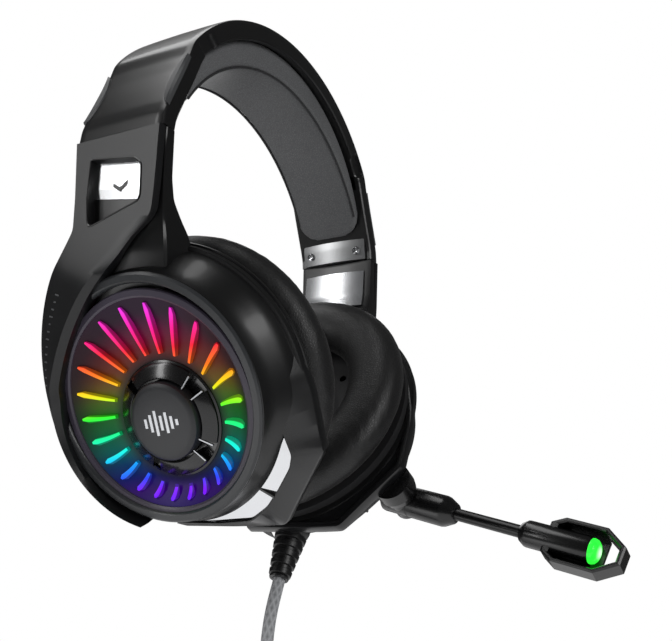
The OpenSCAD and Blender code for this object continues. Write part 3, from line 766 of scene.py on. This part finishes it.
# Disc rings. A bevelled grey outer ring and a purple-grey inner ring set a
# little low in it, which leaves one thin slot above.
ring_grey = moulded("ring_grey", (0.035, 0.037, 0.04), 0.32, 0.3)
ring_purple = moulded("ring_purple", (0.055, 0.046, 0.068), 0.34, 0.3)
OUTER_RING = [
    (41.6, 18), (43.2, 18), (43.2, 20.8), (45.5, 20.8), (45.5, 21.3), (44.7, 21.95), (42.6, 22.1),
    (42.2, 21.8), (41.6, 20.6)
]
INNER_RING = [(38.3, 18.4), (41.4, 18.4), (41.4, 20.3), (41.0, 20.8), (39.0, 21.1), (38.3, 20.6)]
DISH_C = np.array([-0.5, -1.8])
for side, side_name in SIDES:
    outer = spun("disc_outer_ring_" + side_name, side, OUTER_RING, steps=160)
    fit(outer, "arm_" + side_name, "ring_grey", ring_grey, "disc_ring_" + side_name)
    inner = spun("disc_inner_ring_" + side_name, side, INNER_RING, DISH_C, 160)
    fit(inner, "arm_" + side_name, "ring_purple", ring_purple, "inner_ring_" + side_name)


# Lit dish and blades. A smoked dish over the circuit board, with raised
# translucent blades that fan out from the hub; their colour follows height.
HUES = [
    (0.00, (0.10, 0.00, 0.85)), (0.07, (0.20, 0.0, 1.0)), (0.13, (0.02, 0.05, 1.0)),
    (0.2, (0.0, 0.30, 1.0)), (0.27, (0.0, 0.85, 0.75)), (0.36, (0.0, 0.9, 0.28)),
    (0.46, (0.02, 0.95, 0.02)), (0.53, (0.45, 0.95, 0.0)), (0.6, (1.0, 0.62, 0.0)),
    (0.68, (1.0, 0.18, 0.0)), (0.78, (1.0, 0.01, 0.03)), (0.88, (1.0, 0.0, 0.28)),
    (1.00, (0.85, 0.02, 0.75))
]
LIGHT_LOW, LIGHT_HIGH = -39.5, 33.0
HUB_C = np.array([-0.9, -9.0])


def lit(name, side, base, strength, soft_edge):
    """Smoked plastic lit from behind: the hue runs up the cup, and the glow fades towards the dish's rim; on
    a blade it is painted bright on the top face and dim on the sides as painted shade.
    """
    made = Finish(name, Roughness=0.42, Specular_IOR_Level=0.2, Emission_Strength=strength)
    x, y, z = (made.start.node("ShaderNodeSeparateXYZ", {}, {0: made.place}, out) for out in range(3))
    up = (x * side - CUP_X / 1000) * SIN + z * COS
    height = (up * 1000 - LIGHT_LOW) / (LIGHT_HIGH - LIGHT_LOW)
    hue = made.start.node("ShaderNodeValToRGB", {"stops": HUES}, {0: height})
    rear = y * 1000 - float(HUB_C[0])
    rise = up * 1000 - float(HUB_C[1])
    away = (rear * rear + rise * rise) ** 0.5
    own_uv = made.start.node("ShaderNodeUVMap", {"uv_map": "along"})
    around = made.start.node("ShaderNodeSeparateXYZ", {}, {0: own_uv}, 1)
    # A blade's top face glows in full and its sides at about a fifth: painted highlight on the top, painted
    # shade on the sides.
    crown = 0.22 + 0.78 * around.between(0.16, 0.3) * (1 - around.between(0.5, 0.56))
    glow = away.between(20.0, 27.0) * (1 - away.between(29.0, 41.0) * 0.9) if soft_edge else crown
    shade = glow * (made.noise(90.0) * 0.5 + 0.75)
    sockets = {0: shade.clipped(0, 1), 6: (0, 0, 0, 1), 7: hue}
    made.feed("Emission Color", made.start.node("ShaderNodeMix", {"data_type": "RGBA"}, sockets, 2))
    made.tint(made.noise(60.0), scaled(base, 0.8), base)
    return made.material


BLADE_START, BLADE_PITCH, BLADE_REACH, BLADE_ROOT = 116, 15, 36.2, 24.2
DISH = [
    (38.35, 19.0), (38.35, 20.0), (36.8, 19.2), (31.5, 15.9), (27, 14.2), (21.7, 13.8), (21.7, 12.6),
    (28, 13.0), (36.5, 17.8)
]
DISH_CS = [
    DISH_C, DISH_C, DISH_C, DISH_C * 0.7 + HUB_C * 0.3, DISH_C * 0.4 + HUB_C * 0.6, HUB_C, HUB_C,
    DISH_C * 0.4 + HUB_C * 0.6, DISH_C
]
for side, side_name in SIDES:
    dish = spun("disc_dish_" + side_name, side, DISH, DISH_CS, 128)
    smoke = lit("dish_smoke_" + side_name, side, (0.012, 0.009, 0.016), 0.1, True)
    fit(dish, "arm_" + side_name, "light_diffuser", smoke, "light_dish_" + side_name)
    glow = lit("blade_glow_" + side_name, side, (0.02, 0.02, 0.02), 1.15, False)
    for i in range(24):
        a = math.radians(BLADE_START - BLADE_PITCH * i)
        way = np.array([-math.cos(a), math.sin(a)])
        side_way = np.array([way[1], -way[0]])
        shift = DISH_C - HUB_C
        reach = shift @ way
        tip = reach + math.sqrt(reach ** 2 + BLADE_REACH ** 2 - shift @ shift)
        s = np.linspace(0, 1, 16)
        far = BLADE_ROOT + (tip - BLADE_ROOT) * s
        bend = 0.35 * np.sin(math.pi * s)
        breadth = 0.75 + 0.75 * s - 0.85 * np.clip((s - 0.87) / 0.13, 0, 1)
        centre = HUB_C + far[:, None] * way + (bend - 0.5)[:, None] * side_way
        from_dish = np.linalg.norm(centre - DISH_C, axis=1)
        floor = np.interp(from_dish, [0, 27, 31.5, 36.8, 38.4], [13.8, 14.0, 15.9, 19.2, 20.0])
        top = 15.6 + (floor[-1] + 1.0 - 15.6) * s
        cross = np.array([(-1, -1.2), (-1, 0.85), (-0.75, 1), (0.3, 0.92), (1, 0.1), (1, -1.2)])
        rear_up = centre[:, None, :] + (cross[:, 0] * breadth[:, None])[..., None] * side_way
        out = floor[:, None] + cross[:, 1] * (top - floor)[:, None]
        rows = on_cup(side, out, rear_up[..., 0], rear_up[..., 1])
        blade = solid("blade_%s_%02d" % (side_name, i + 1), rows, crease=20, seen_uv=True)
        nodes = ("light_bars_" + side_name,) if i == 0 else ()
        fit(blade, "arm_" + side_name, "light_blade", glow, *nodes)


# Circuit board and driver. A green board of lights hidden behind the dish, and
# a black loudspeaker hidden behind the baffle.
board_green = moulded("board_green", (0.02, 0.12, 0.05), 0.4)
driver_black = moulded("driver_black", (0.025, 0.025, 0.027), 0.6)
for _, side_name in SIDES:
    dress("led_board_" + side_name, board_green)
    dress("driver_" + side_name, driver_black)


# Hub. A gloss black well with raised ring segments and four thin bright ticks,
# and a dark satin cap in its middle with a row of level bars as its mark.
hub_black = moulded("hub_black", (0.006, 0.006, 0.0065), 0.2, 0.1, 0.4)
hub_grey = moulded("hub_grey", (0.024, 0.025, 0.028), 0.42, 0.4)
WELL = [(0.1, 12.2), (21.6, 12.2), (21.6, 14.1), (20.8, 14.4), (20.3, 13.4), (15.2, 13.2), (0.1, 13.2)]
SEGMENT = [(15.3, 13), (20.9, 13), (20.8, 15.2), (20.3, 15.7), (15.7, 17.2), (15.3, 16.9)]
CAP = [
    (0.05, 13.3), (13.9, 13.3), (14.5, 14), (14.5, 18), (14.2, 18.7), (13.5, 19.2), (12, 19.5), (6, 19.6),
    (0.05, 19.62)
]
TICKS = (47, 27, -30.5, -50.5)
LEVELS_MM = [2.2, 4.6, 7.6, 5.4, 9.2, 6.4, 3.4]
for side, side_name in SIDES:
    body = "arm_" + side_name
    fit(
        spun("hub_well_" + side_name, side, WELL, HUB_C), body, "hub_black", hub_black,
        "hub_ring_" + side_name
    )
    for k, (start, stop) in enumerate(((-28, 26), (50, 128), (138, 236), (246, 308))):
        piece = spun("hub_segment_%s_%d" % (side_name, k + 1), side, SEGMENT, HUB_C, 40, start, stop)
        fit(piece, body, "hub_black", hub_black)
        edge = [(14.9, 16.6), (20.4, 15.8), (20.4, 16.6), (14.9, 17.4)]
        tick = spun("hub_tick_%s_%d" % (side_name, k + 1), side, edge, HUB_C, 4, TICKS[k], TICKS[k] + 1.6)
        fit(tick, body, "spring_steel", spring_steel)
    fit(
        spun("hub_cap_%s_skin" % side_name, side, CAP, HUB_C), body, "hub_grey", hub_grey,
        "hub_cap_" + side_name
    )
    for k, tall in enumerate(LEVELS_MM):
        rear = HUB_C[0] + (k - 3) * 2.3
        box = np.array([
            (rear - 0.6, -tall / 2), (rear + 0.6, -tall / 2), (rear + 0.6, tall / 2), (rear - 0.6, tall / 2)
        ])
        rows = np.stack([on_cup(side, h, box[:, 0], HUB_C[1] + box[:, 1]) for h in (19.4, 19.72)])
        fit(solid("hub_mark_%s_%d" % (side_name, k + 1), rows), body, "spring_steel", spring_steel)


# Window and inner plates. Bright plated plates, one sunk in each arm's window
# with a small chevron on it, one let into the arm's inner side.
WINDOW_RIM = [
    (1.0, 82), (1.0, 85.15), (0.985, 85.3), (0.955, 85.2), (0.945, 84.6), (0.93, 81.4), (0.93, 80.5),
    (1.0, 80.5)
]
for side, side_name in SIDES:
    body = "arm_" + side_name
    mid = WINDOW.mean(0)
    shares = np.linspace(1.0, 0.02, 12)
    rings = [(1.0, 80.4)] + [(share, 81.4) for share in shares]
    plate = []
    for share, x in rings:
        edge = mid + (WINDOW - mid) * share
        fold = edge[:, 1] - 63.6 - 0.16 * edge[:, 0]
        lean = np.where(fold > 0, 0.02 * fold, 0.16 * fold)
        plate.append(
            np.stack([
                side * (x + 0.7 + (lean if x > 81 else 0 * lean)), BAND_Y + edge[:, 0], edge[:, 1]
            ], -1)
        )
    fit(
        solid("window_mirror_" + side_name, np.stack(plate)), body, "bright_chrome", chrome_soft,
        "window_plate_" + side_name
    )
    well = []
    for grow, x in WINDOW_RIM:
        edge = mid + (WINDOW - mid) * grow * 1.04
        well.append(np.stack([side * (x + 0 * edge[:, 0]), BAND_Y + edge[:, 0], edge[:, 1]], -1))
    rows = np.stack(well, 1)
    fit(solid("window_well_" + side_name, rows, ring=True), body, "cover_charcoal", shell_black)
    chevron = np.array([(-3.2, 2.6), (0, 0.4), (3.2, 2.6), (3.2, 1.0), (0, -1.2), (-3.2, 1.0)]) + [-1, 63.5]
    mark = slab("window_chevron_" + side_name, side, chevron, 81.8, 82.4)
    fit(mark, body, "shell_black", shell_black)
    low, high = (np.array(corner) * 1000 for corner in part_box("inner_plate_" + side_name))
    heights = np.linspace(high[2], low[2], 16)
    face = np.interp(-heights, [-high[2], -66, -58, -54], [76.9, 76.0, 74.3, 72.0]) - 0.5
    plate_line = np.stack([face, heights], -1)
    rows = crowned(side, plate_line, (high[1] + low[1]) / 2, (high[1] - low[1]) / 2, 1.6, 0.2, 1.2)
    plate = solid("inner_plate_skin_" + side_name, rows)
    fit(plate, body, "bright_chrome", chrome_soft, "inner_plate_" + side_name)


# Baffle. The black plastic plate behind each cushion, with its ring of tuning
# holes; it closes the bowl and carries the driver.
for _, side_name in SIDES:
    dress("baffle_" + side_name, liner_black)


# Ear cushions. Puffy rings of foam under soft black protein leather, pulled
# over the baffle's edge and sewn round the ear opening.
black_leather = leather("black_leather", (0.003, 0.003, 0.0032), (0.009, 0.009, 0.0095), 0.38, 0.6, 0.5)
ring_a = np.linspace(0, 2 * math.pi, 40, endpoint=False)
for side, side_name in SIDES:
    fat = 11.9 * np.sign(np.cos(ring_a)) * np.abs(np.cos(ring_a)) ** 0.92
    thick = 9.2 * np.sign(np.sin(ring_a)) * np.abs(np.sin(ring_a)) ** 0.88
    rows_profile = np.stack([41.8 + fat, -14.2 + thick], -1)
    ring = spun("ear_cushion_cover_" + side_name, side, rows_profile, steps=150)

    def cushion_held(points):
        """The cushion is held over the baffle's edge and where it is sewn round the ear."""
        x = side * points[:, 0] - CUP_X
        out = COS * x - SIN * points[:, 2]
        up = SIN * x + COS * points[:, 2]
        r = np.hypot(points[:, 1], up)
        return (out > -6.6) | ((r < 31.5) & (out > -16))

    cushion = puffed(ring, cushion_held, 3.5, 0.7, 2.6, 12)
    fit(cushion, "arm_" + side_name, "black_leather", black_leather, "cushion_" + side_name)


# Boom microphone. A knuckle turns on a pin at the left cup's corner; a barrel,
# a thin flexible rod and a capsule follow, and a lit lens ends it in a fork.
BOOM_SLOPE = math.radians(15.7)
PIVOT_OUT, PIVOT_FRONT, PIVOT_UP = 19.4, 48.5, -31.0
mic_black = moulded("mic_black", (0.004, 0.004, 0.0043), 0.26, 0.15, 0.2)
rod_black = moulded("mic_rod_black", (0.004, 0.004, 0.0043), 0.3, 0.2)


def on_boom(ahead_mm, out_mm, rise_mm):
    """From the boom's frame, along it, outward of the cup and across it, to the room's, in millimetres."""
    front = PIVOT_FRONT + ahead_mm * math.cos(BOOM_SLOPE) + rise_mm * math.sin(BOOM_SLOPE)
    up = PIVOT_UP - ahead_mm * math.sin(BOOM_SLOPE) + rise_mm * math.cos(BOOM_SLOPE)
    return on_cup(1, PIVOT_OUT + out_mm, -front, up)


def lathe(name, profile, crease=30.0, steps=48):
    """A solid turned about the boom's axis from a closed outline of (radius, ahead) points."""
    profile = np.asarray(profile, float)
    a = np.linspace(0, 2 * math.pi, steps, endpoint=False)[:, None]
    return solid(
        name, on_boom(profile[:, 1] + 0 * a, profile[:, 0] * np.cos(a), profile[:, 0] * np.sin(a)),
        ring=True, crease=crease
    )


dress("mic_socket", mic_black)
turn = np.linspace(0, 2 * math.pi, 64, endpoint=False)[:, None]
knuckle = np.array([(0.05, 13.2), (5.4, 13.2), (6.0, 13.8), (6.0, 24.2), (5.4, 24.9), (0.05, 25)])
rows = on_cup(
    1, knuckle[:, 1] + 0 * turn, -PIVOT_FRONT - knuckle[:, 0] * np.cos(turn),
    PIVOT_UP + knuckle[:, 0] * np.sin(turn)
)
fit(solid("mic_knuckle", rows, ring=True), "mic_boom", "mic_black", mic_black, "mic_base")
BARREL = [
    (0.05, -9.2), (5.0, -9.2), (5.9, -8.4), (6.15, -7.2), (6.2, 3.6), (5.95, 3.8), (5.95, 4.1), (6.25, 4.3),
    (6.3, 19.5), (6.0, 20.8), (4.1, 24.6), (3.1, 25), (0.05, 25)
]
fit(lathe("mic_barrel", BARREL), "mic_boom", "mic_black", mic_black)
ROD = [(0.05, 20), (2.45, 20), (2.45, 58), (0.05, 58)]
fit(lathe("mic_rod_sleeve", ROD), "mic_boom", "mic_rod_black", rod_black, "mic_rod")
CAPSULE = [
    (0.05, 53.6), (2.9, 53.6), (3.6, 54.0), (5.0, 56.2), (5.15, 57), (5.15, 80.6), (4.7, 82), (4.3, 82.2),
    (0.05, 82.2)
]
fit(lathe("mic_capsule_body", CAPSULE), "mic_boom", "mic_black", mic_black, "mic_capsule")
green_light = Finish("green_light", Roughness=0.2, Emission_Strength=1.6)
core = tuple((on_boom(85.3, 0.0, 0.0) / 1000).tolist())
sockets = {0: green_light.place, 1: core}
from_core = green_light.start.node("ShaderNodeVectorMath", {"operation": "DISTANCE"}, sockets, 1) * 1000
spot = (1 - from_core.between(0.4, 3.2)) * 0.85 + green_light.noise(300.0) * 0.08
sockets = {0: spot, 6: (0.0, 0.62, 0.012, 1), 7: (0.55, 1.0, 0.55, 1)}
green_light.feed("Emission Color", green_light.start.node("ShaderNodeMix", {"data_type": "RGBA"}, sockets, 2))
green_light.tint(spot, (0.0, 0.4, 0.02), (0.1, 0.8, 0.15))
LENS = [(0.05, 81.8), (4.7, 81.8), (4.75, 82.5), (4.4, 83.6), (3.4, 84.5), (1.8, 85.1), (0.05, 85.3)]
fit(lathe("mic_lens_dome", LENS), "mic_boom", "green_light", green_light.material, "mic_lens")
FORK_OUT = np.array([
    (64.6, -6.2), (69.6, -9.2), (86, -9.2), (94.3, -3.6), (94.3, 3.6), (86, 9.2), (69.6, 9.2), (64.6, 6.2)
])
FORK_IN = np.array([
    (67.5, -5.9), (70.4, -7.5), (85.4, -7.5), (92.3, -2.8), (92.3, 2.8), (85.4, 7.5), (70.4, 7.5),
    (67.5, 5.9)
])
fork_steps = [
    (0.0, -2.6), (0.3, -3.2), (0.7, -3.2), (1.0, -2.6), (1.0, 3.9), (0.7, 4.4), (0.3, 4.4), (0.0, 3.9)
]
fork_rings = []
for t, out in fork_steps:
    edge = FORK_OUT * (1 - t) + FORK_IN * t
    fork_rings.append(on_boom(edge[:, 0], out + 0 * edge[:, 0], edge[:, 1]))
rows = np.stack(fork_rings, 1)
fit(solid("mic_fork_frame", rows, ring=True, crease=20), "mic_boom", "mic_black", mic_black, "mic_fork")
FORK_BACK = np.array([
    (66, -5.8), (70, -8), (84.6, -8), (86.4, -6.6), (86.4, 6.6), (84.6, 8), (70, 8), (66, 5.8)
])
rows = np.stack([on_boom(FORK_BACK[:, 0], out + 0 * FORK_BACK[:, 0], FORK_BACK[:, 1]) for out in (2.6, 4.2)])
fit(solid("mic_fork_back", rows), "mic_boom", "mic_black", mic_black)


# Controls on the left cup's rear edge: a knurled volume wheel and the slide
# that mutes the microphone.
control_grey = moulded("control_plastic", (0.03, 0.031, 0.033), 0.5)
turn = np.linspace(0, 2 * math.pi, 96, endpoint=False)
wheel = np.array([(1.2, -5.8), (3.3, -5.8), (3.4, -5.6), (3.4, -4.6), (3.3, -4.4), (1.2, -4.4)])
radius = wheel[:, 0] - 0.16 * (wheel[:, 0] > 2) * (np.arange(96) % 3 == 0)[:, None]
turn = turn[:, None]
rows = on_cup(1, wheel[:, 1] + 0 * turn, 50.6 + radius * np.cos(turn), -14 + radius * np.sin(turn))
fit(
    solid("volume_wheel_rim", rows, ring=True, crease=18), "volume_wheel", "control_plastic", control_grey,
    "volume_wheel"
)
dress("mic_switch", control_grey)


# Strain relief. Moulded rubber with ribs, tapered down to the cord where it
# leaves the left cup's lowest point.
relief_rubber = moulded("relief_rubber", (0.006, 0.006, 0.0065), 0.38, 0.3)
relief = [(2.5, -72), (3.9, -72), (4.1, -71.4)]
for z in (-70.4, -66.6, -62.8, -59.0, -55.2):
    r = 4.35 + (z + 72) * 0.13
    relief += [(r - 0.75, z - 0.35), (r, z), (r + 0.25, z + 1.9), (r - 0.4, z + 2.3)]
relief += [(7.0, -51.6), (7.4, -50), (7.4, -47.6), (2.5, -47.6)]
relief = np.array(relief)
turn = np.linspace(0, 2 * math.pi, 64, endpoint=False)[:, None]
rows = on_cup(
    1, 10 + relief[:, 0] * np.cos(turn), -4.6 + relief[:, 0] * np.sin(turn), relief[:, 1] + 0 * turn
)
relief_piece = fit(
    solid("strain_relief_boot", rows, ring=True, crease=35), "arm_left", "relief_rubber", relief_rubber,
    "strain_relief"
)


# Cord. A silver-grey braided cord, 5 mm across, falls from the boot and is
# wound into a tied coil; its tail ends in a split with two short leads.
ROUTE = [
    (20.5, -4.6, -69), (18.6, -4.7, -73), (15.8, -4.9, -79), (13.6, -5, -86), (12.4, -5, -94),
    (12, -5, -104), (12, -5, -118), (12, -5, -132)
]
TAIL = [(27, -5, -168), (27, -5, -176), (27, -5, -185)]
COIL_C = (19.5, 27.5, -150)
COIL_R = 22.5
CORD_D = 5.0
LEAD_D = 3.2
LAYERS = [(column, layer) for column in range(4) for layer in ((2, 1, 0) if column % 2 == 0 else (0, 1, 2))]
per_turn = 48
turns = []
for k, (column, layer) in enumerate(LAYERS):
    then = LAYERS[min(k + 1, len(LAYERS) - 1)]
    t = np.arange(per_turn) / per_turn
    blend = np.clip((t - 0.75) / 0.25, 0, 1)
    blend = blend * blend * (3 - 2 * blend)
    r = COIL_R + CORD_D * (layer * (1 - blend) + then[1] * blend)
    x = COIL_C[0] + CORD_D * (column * (1 - blend) + then[0] * blend - 1.5)
    a = math.pi + 2 * math.pi * t
    turns.append(np.stack([x, COIL_C[1] + r * np.cos(a), COIL_C[2] + r * np.sin(a)], -1))
wound = np.concatenate(turns + [[[27, -5, COIL_C[2]]]])


def smooth_route(points, step):
    """A smooth line through given points: a Catmull-Rom curve at even steps."""
    p = np.asarray(points, float)
    p = np.concatenate([2 * p[:1] - p[1:2], p, 2 * p[-1:] - p[-2:-1]])
    t = np.linspace(0, 1, 12, endpoint=False)[:, None]
    parts = []
    for k in range(len(p) - 3):
        a, b, c, d = p[k:k + 4]
        square = 2 * a - 5 * b + 4 * c - d
        cube = 3 * b - a - 3 * c + d
        parts.append(0.5 * (2 * b + (c - a) * t + square * t ** 2 + cube * t ** 3))
    line = np.concatenate(parts + [p[-2:-1]])
    length = np.linalg.norm(np.diff(line, axis=0), axis=1).sum()
    return along(line, max(int(length / step), 8))


def tube(name, path, diameter, around):
    """A round tube carried along a path, its frame turned as little as possible from ring to ring."""
    ahead = np.gradient(path, axis=0)
    ahead /= np.linalg.norm(ahead, axis=1, keepdims=True)
    side_way = np.empty_like(ahead)
    side_way[0] = np.cross(ahead[0], [0, 1, 0])
    for k in range(1, len(path)):
        side_way[k] = side_way[k - 1] - ahead[k] * (side_way[k - 1] @ ahead[k])
        side_way[k] /= np.linalg.norm(side_way[k])
    side_way[0] /= np.linalg.norm(side_way[0])
    other = np.cross(ahead, side_way)
    a = np.linspace(0, 2 * math.pi, around, endpoint=False)
    rows = path[:, None] + diameter / 2 * (
        np.cos(a)[:, None] * side_way[:, None] + np.sin(a)[:, None] * other[:, None]
    )
    return solid(name, rows, crease=60, seen_uv=True)


down_to_coil = smooth_route(ROUTE + [(12, -5, -142)], 1.6)
tail_path = smooth_route([(27, -5, -152)] + TAIL, 2.5)
whole_path = along(np.concatenate([down_to_coil, wound, tail_path]), 1500)
cord_length = np.linalg.norm(np.diff(whole_path, axis=0), axis=1).sum() / 1000


def braid(name, light, dark, turns_along, strands):
    """Braided yarn: two sets of strands that cross over the cord's own length and girth."""
    made = Finish(name, Sheen_Weight=0.25, Sheen_Roughness=0.5)
    uv = made.start.node("ShaderNodeUVMap", {"uv_map": "along"})
    u = made.start.node("ShaderNodeSeparateXYZ", {}, {0: uv}, 0) * turns_along
    v = made.start.node("ShaderNodeSeparateXYZ", {}, {0: uv}, 1) * strands
    one = made.start.joined("PINGPONG", u + v, 0.5) * 2
    two = made.start.joined("PINGPONG", u - v, 0.5) * 2
    yarn = made.start.joined("MAXIMUM", one, two)
    made.tint(yarn * 0.8 + made.noise(900.0) * 0.2, dark, light)
    made.feed("Roughness", yarn * -0.12 + 0.62)
    made.bump(yarn, 0.7, 0.35)
    return made.material


cord_braid = braid("cord_braid", (0.50, 0.51, 0.53), (0.16, 0.165, 0.17), cord_length * 1000 / 5.2, 6)
cord = tube("cord_main", whole_path, CORD_D, 14)
fit(cord, "arm_left", "cord_braid", cord_braid, "cord_tube", "cord_coil")

tie_fabric = moulded("tie_fabric", (0.01, 0.01, 0.01), 0.8, 0.9)
dress("cord_tie", tie_fabric)
dress("cord_split", relief_rubber)
lead_rubber = moulded("lead_rubber", (0.014, 0.014, 0.015), 0.45, 0.2)
LEADS = {
    "usb": [
        (30, -5, -202), (30.5, -5, -212), (33, -5, -224), (34.5, -5, -240), (35, -5, -258), (35, -5, -282)
    ],
    "audio": [
        (24, -5, -202), (23.5, -5, -212), (21, -5, -224), (19.5, -5, -240), (19, -5, -258), (19, -5, -282)
    ],
}
for kind, points in LEADS.items():
    path = smooth_route(points, 2.0)
    lead = tube("lead_%s_sleeve" % kind, path, LEAD_D, 14)
    fit(lead, "arm_left", "lead_rubber", lead_rubber, "lead_" + kind)
dress("usb_plug", liner_black)
dress("audio_plug", brushed("jack_metal", (0.78, 0.62, 0.32), 0.25))


# Studio. A pale round floor well below the hanging cord, a bright even
# surround and soft lamps above, in front, behind, low down and at the sides.
FLOOR_R, FLOOR_Z, FLOOR_SIDES = 1.1, -0.42, 96
floor_mesh = bpy.data.meshes.new("floor")
a = np.linspace(0, 2 * math.pi, FLOOR_SIDES, endpoint=False)
disc = np.stack([FLOOR_R * np.cos(a), FLOOR_R * np.sin(a), FLOOR_Z + 0 * a], -1)
floor_mesh.from_pydata(disc.tolist(), [], [list(range(FLOOR_SIDES))])
floor = bpy.data.objects.new("floor", floor_mesh)
bpy.context.collection.objects.link(floor)
floor_finish = Finish("floor_paper", Roughness=0.9, Emission_Color=(1, 1, 1, 1), Emission_Strength=0.4)
floor_finish.tint(floor_finish.noise(3.0), (0.84, 0.84, 0.85), (0.88, 0.88, 0.89))
floor_mesh.materials.append(floor_finish.material)

world = bpy.data.worlds.new("studio")
world.use_nodes = True
bpy.context.scene.world = world
sky = Wire(world.node_tree, None)
seen = sky.node("ShaderNodeLightPath")
white = world.node_tree.nodes["Background"]
strength = seen * 0.93 + 0.07
world.node_tree.links.new(strength.socket, white.inputs["Strength"])
white.inputs["Color"].default_value = (1, 1, 1, 1)

LAMPS = [
    ("lamp_top", (-0.15, 0.25, 0.95), (0, 0, 0.02), 0.9, 0.5, 4),
    ("lamp_front", (-0.35, -1.1, 0.35), (0, 0, 0.0), 0.4, 0.9, 5),
    ("lamp_left", (-0.95, 0.62, 0.42), (0, 0, 0.05), 0.16, 0.9, 3),
    ("lamp_side", (-0.552, 0.455, 0.335), (-0.08, 0, 0.06), 0.25, 0.2, 0.16),
    ("lamp_low", (-0.42, 0.3, -0.36), (-0.09, -0.04, -0.03), 0.3, 0.22, 0.22),
    ("lamp_behind", (0.9, 0.7, 0.5), (0, 0, 0.05), 0.8, 0.8, 3),
]
for name, place, target, wide_m, tall_m, power in LAMPS:
    lamp = bpy.data.lights.new(name, "AREA")
    lamp.shape = "RECTANGLE"
    lamp.size, lamp.size_y, lamp.energy = wide_m, tall_m, power
    holder = bpy.data.objects.new(name, lamp)
    back = np.array(place, float) - np.array(target, float)
    back /= np.linalg.norm(back)
    x_way = np.cross([0, 0, 1], back)
    x_way /= np.linalg.norm(x_way)
    hold = np.eye(4)
    hold[:3, 0], hold[:3, 1], hold[:3, 2], hold[:3, 3] = x_way, np.cross(back, x_way), back, place
    holder.matrix_world = mathutils.Matrix(hold.tolist())
    bpy.context.collection.objects.link(holder)
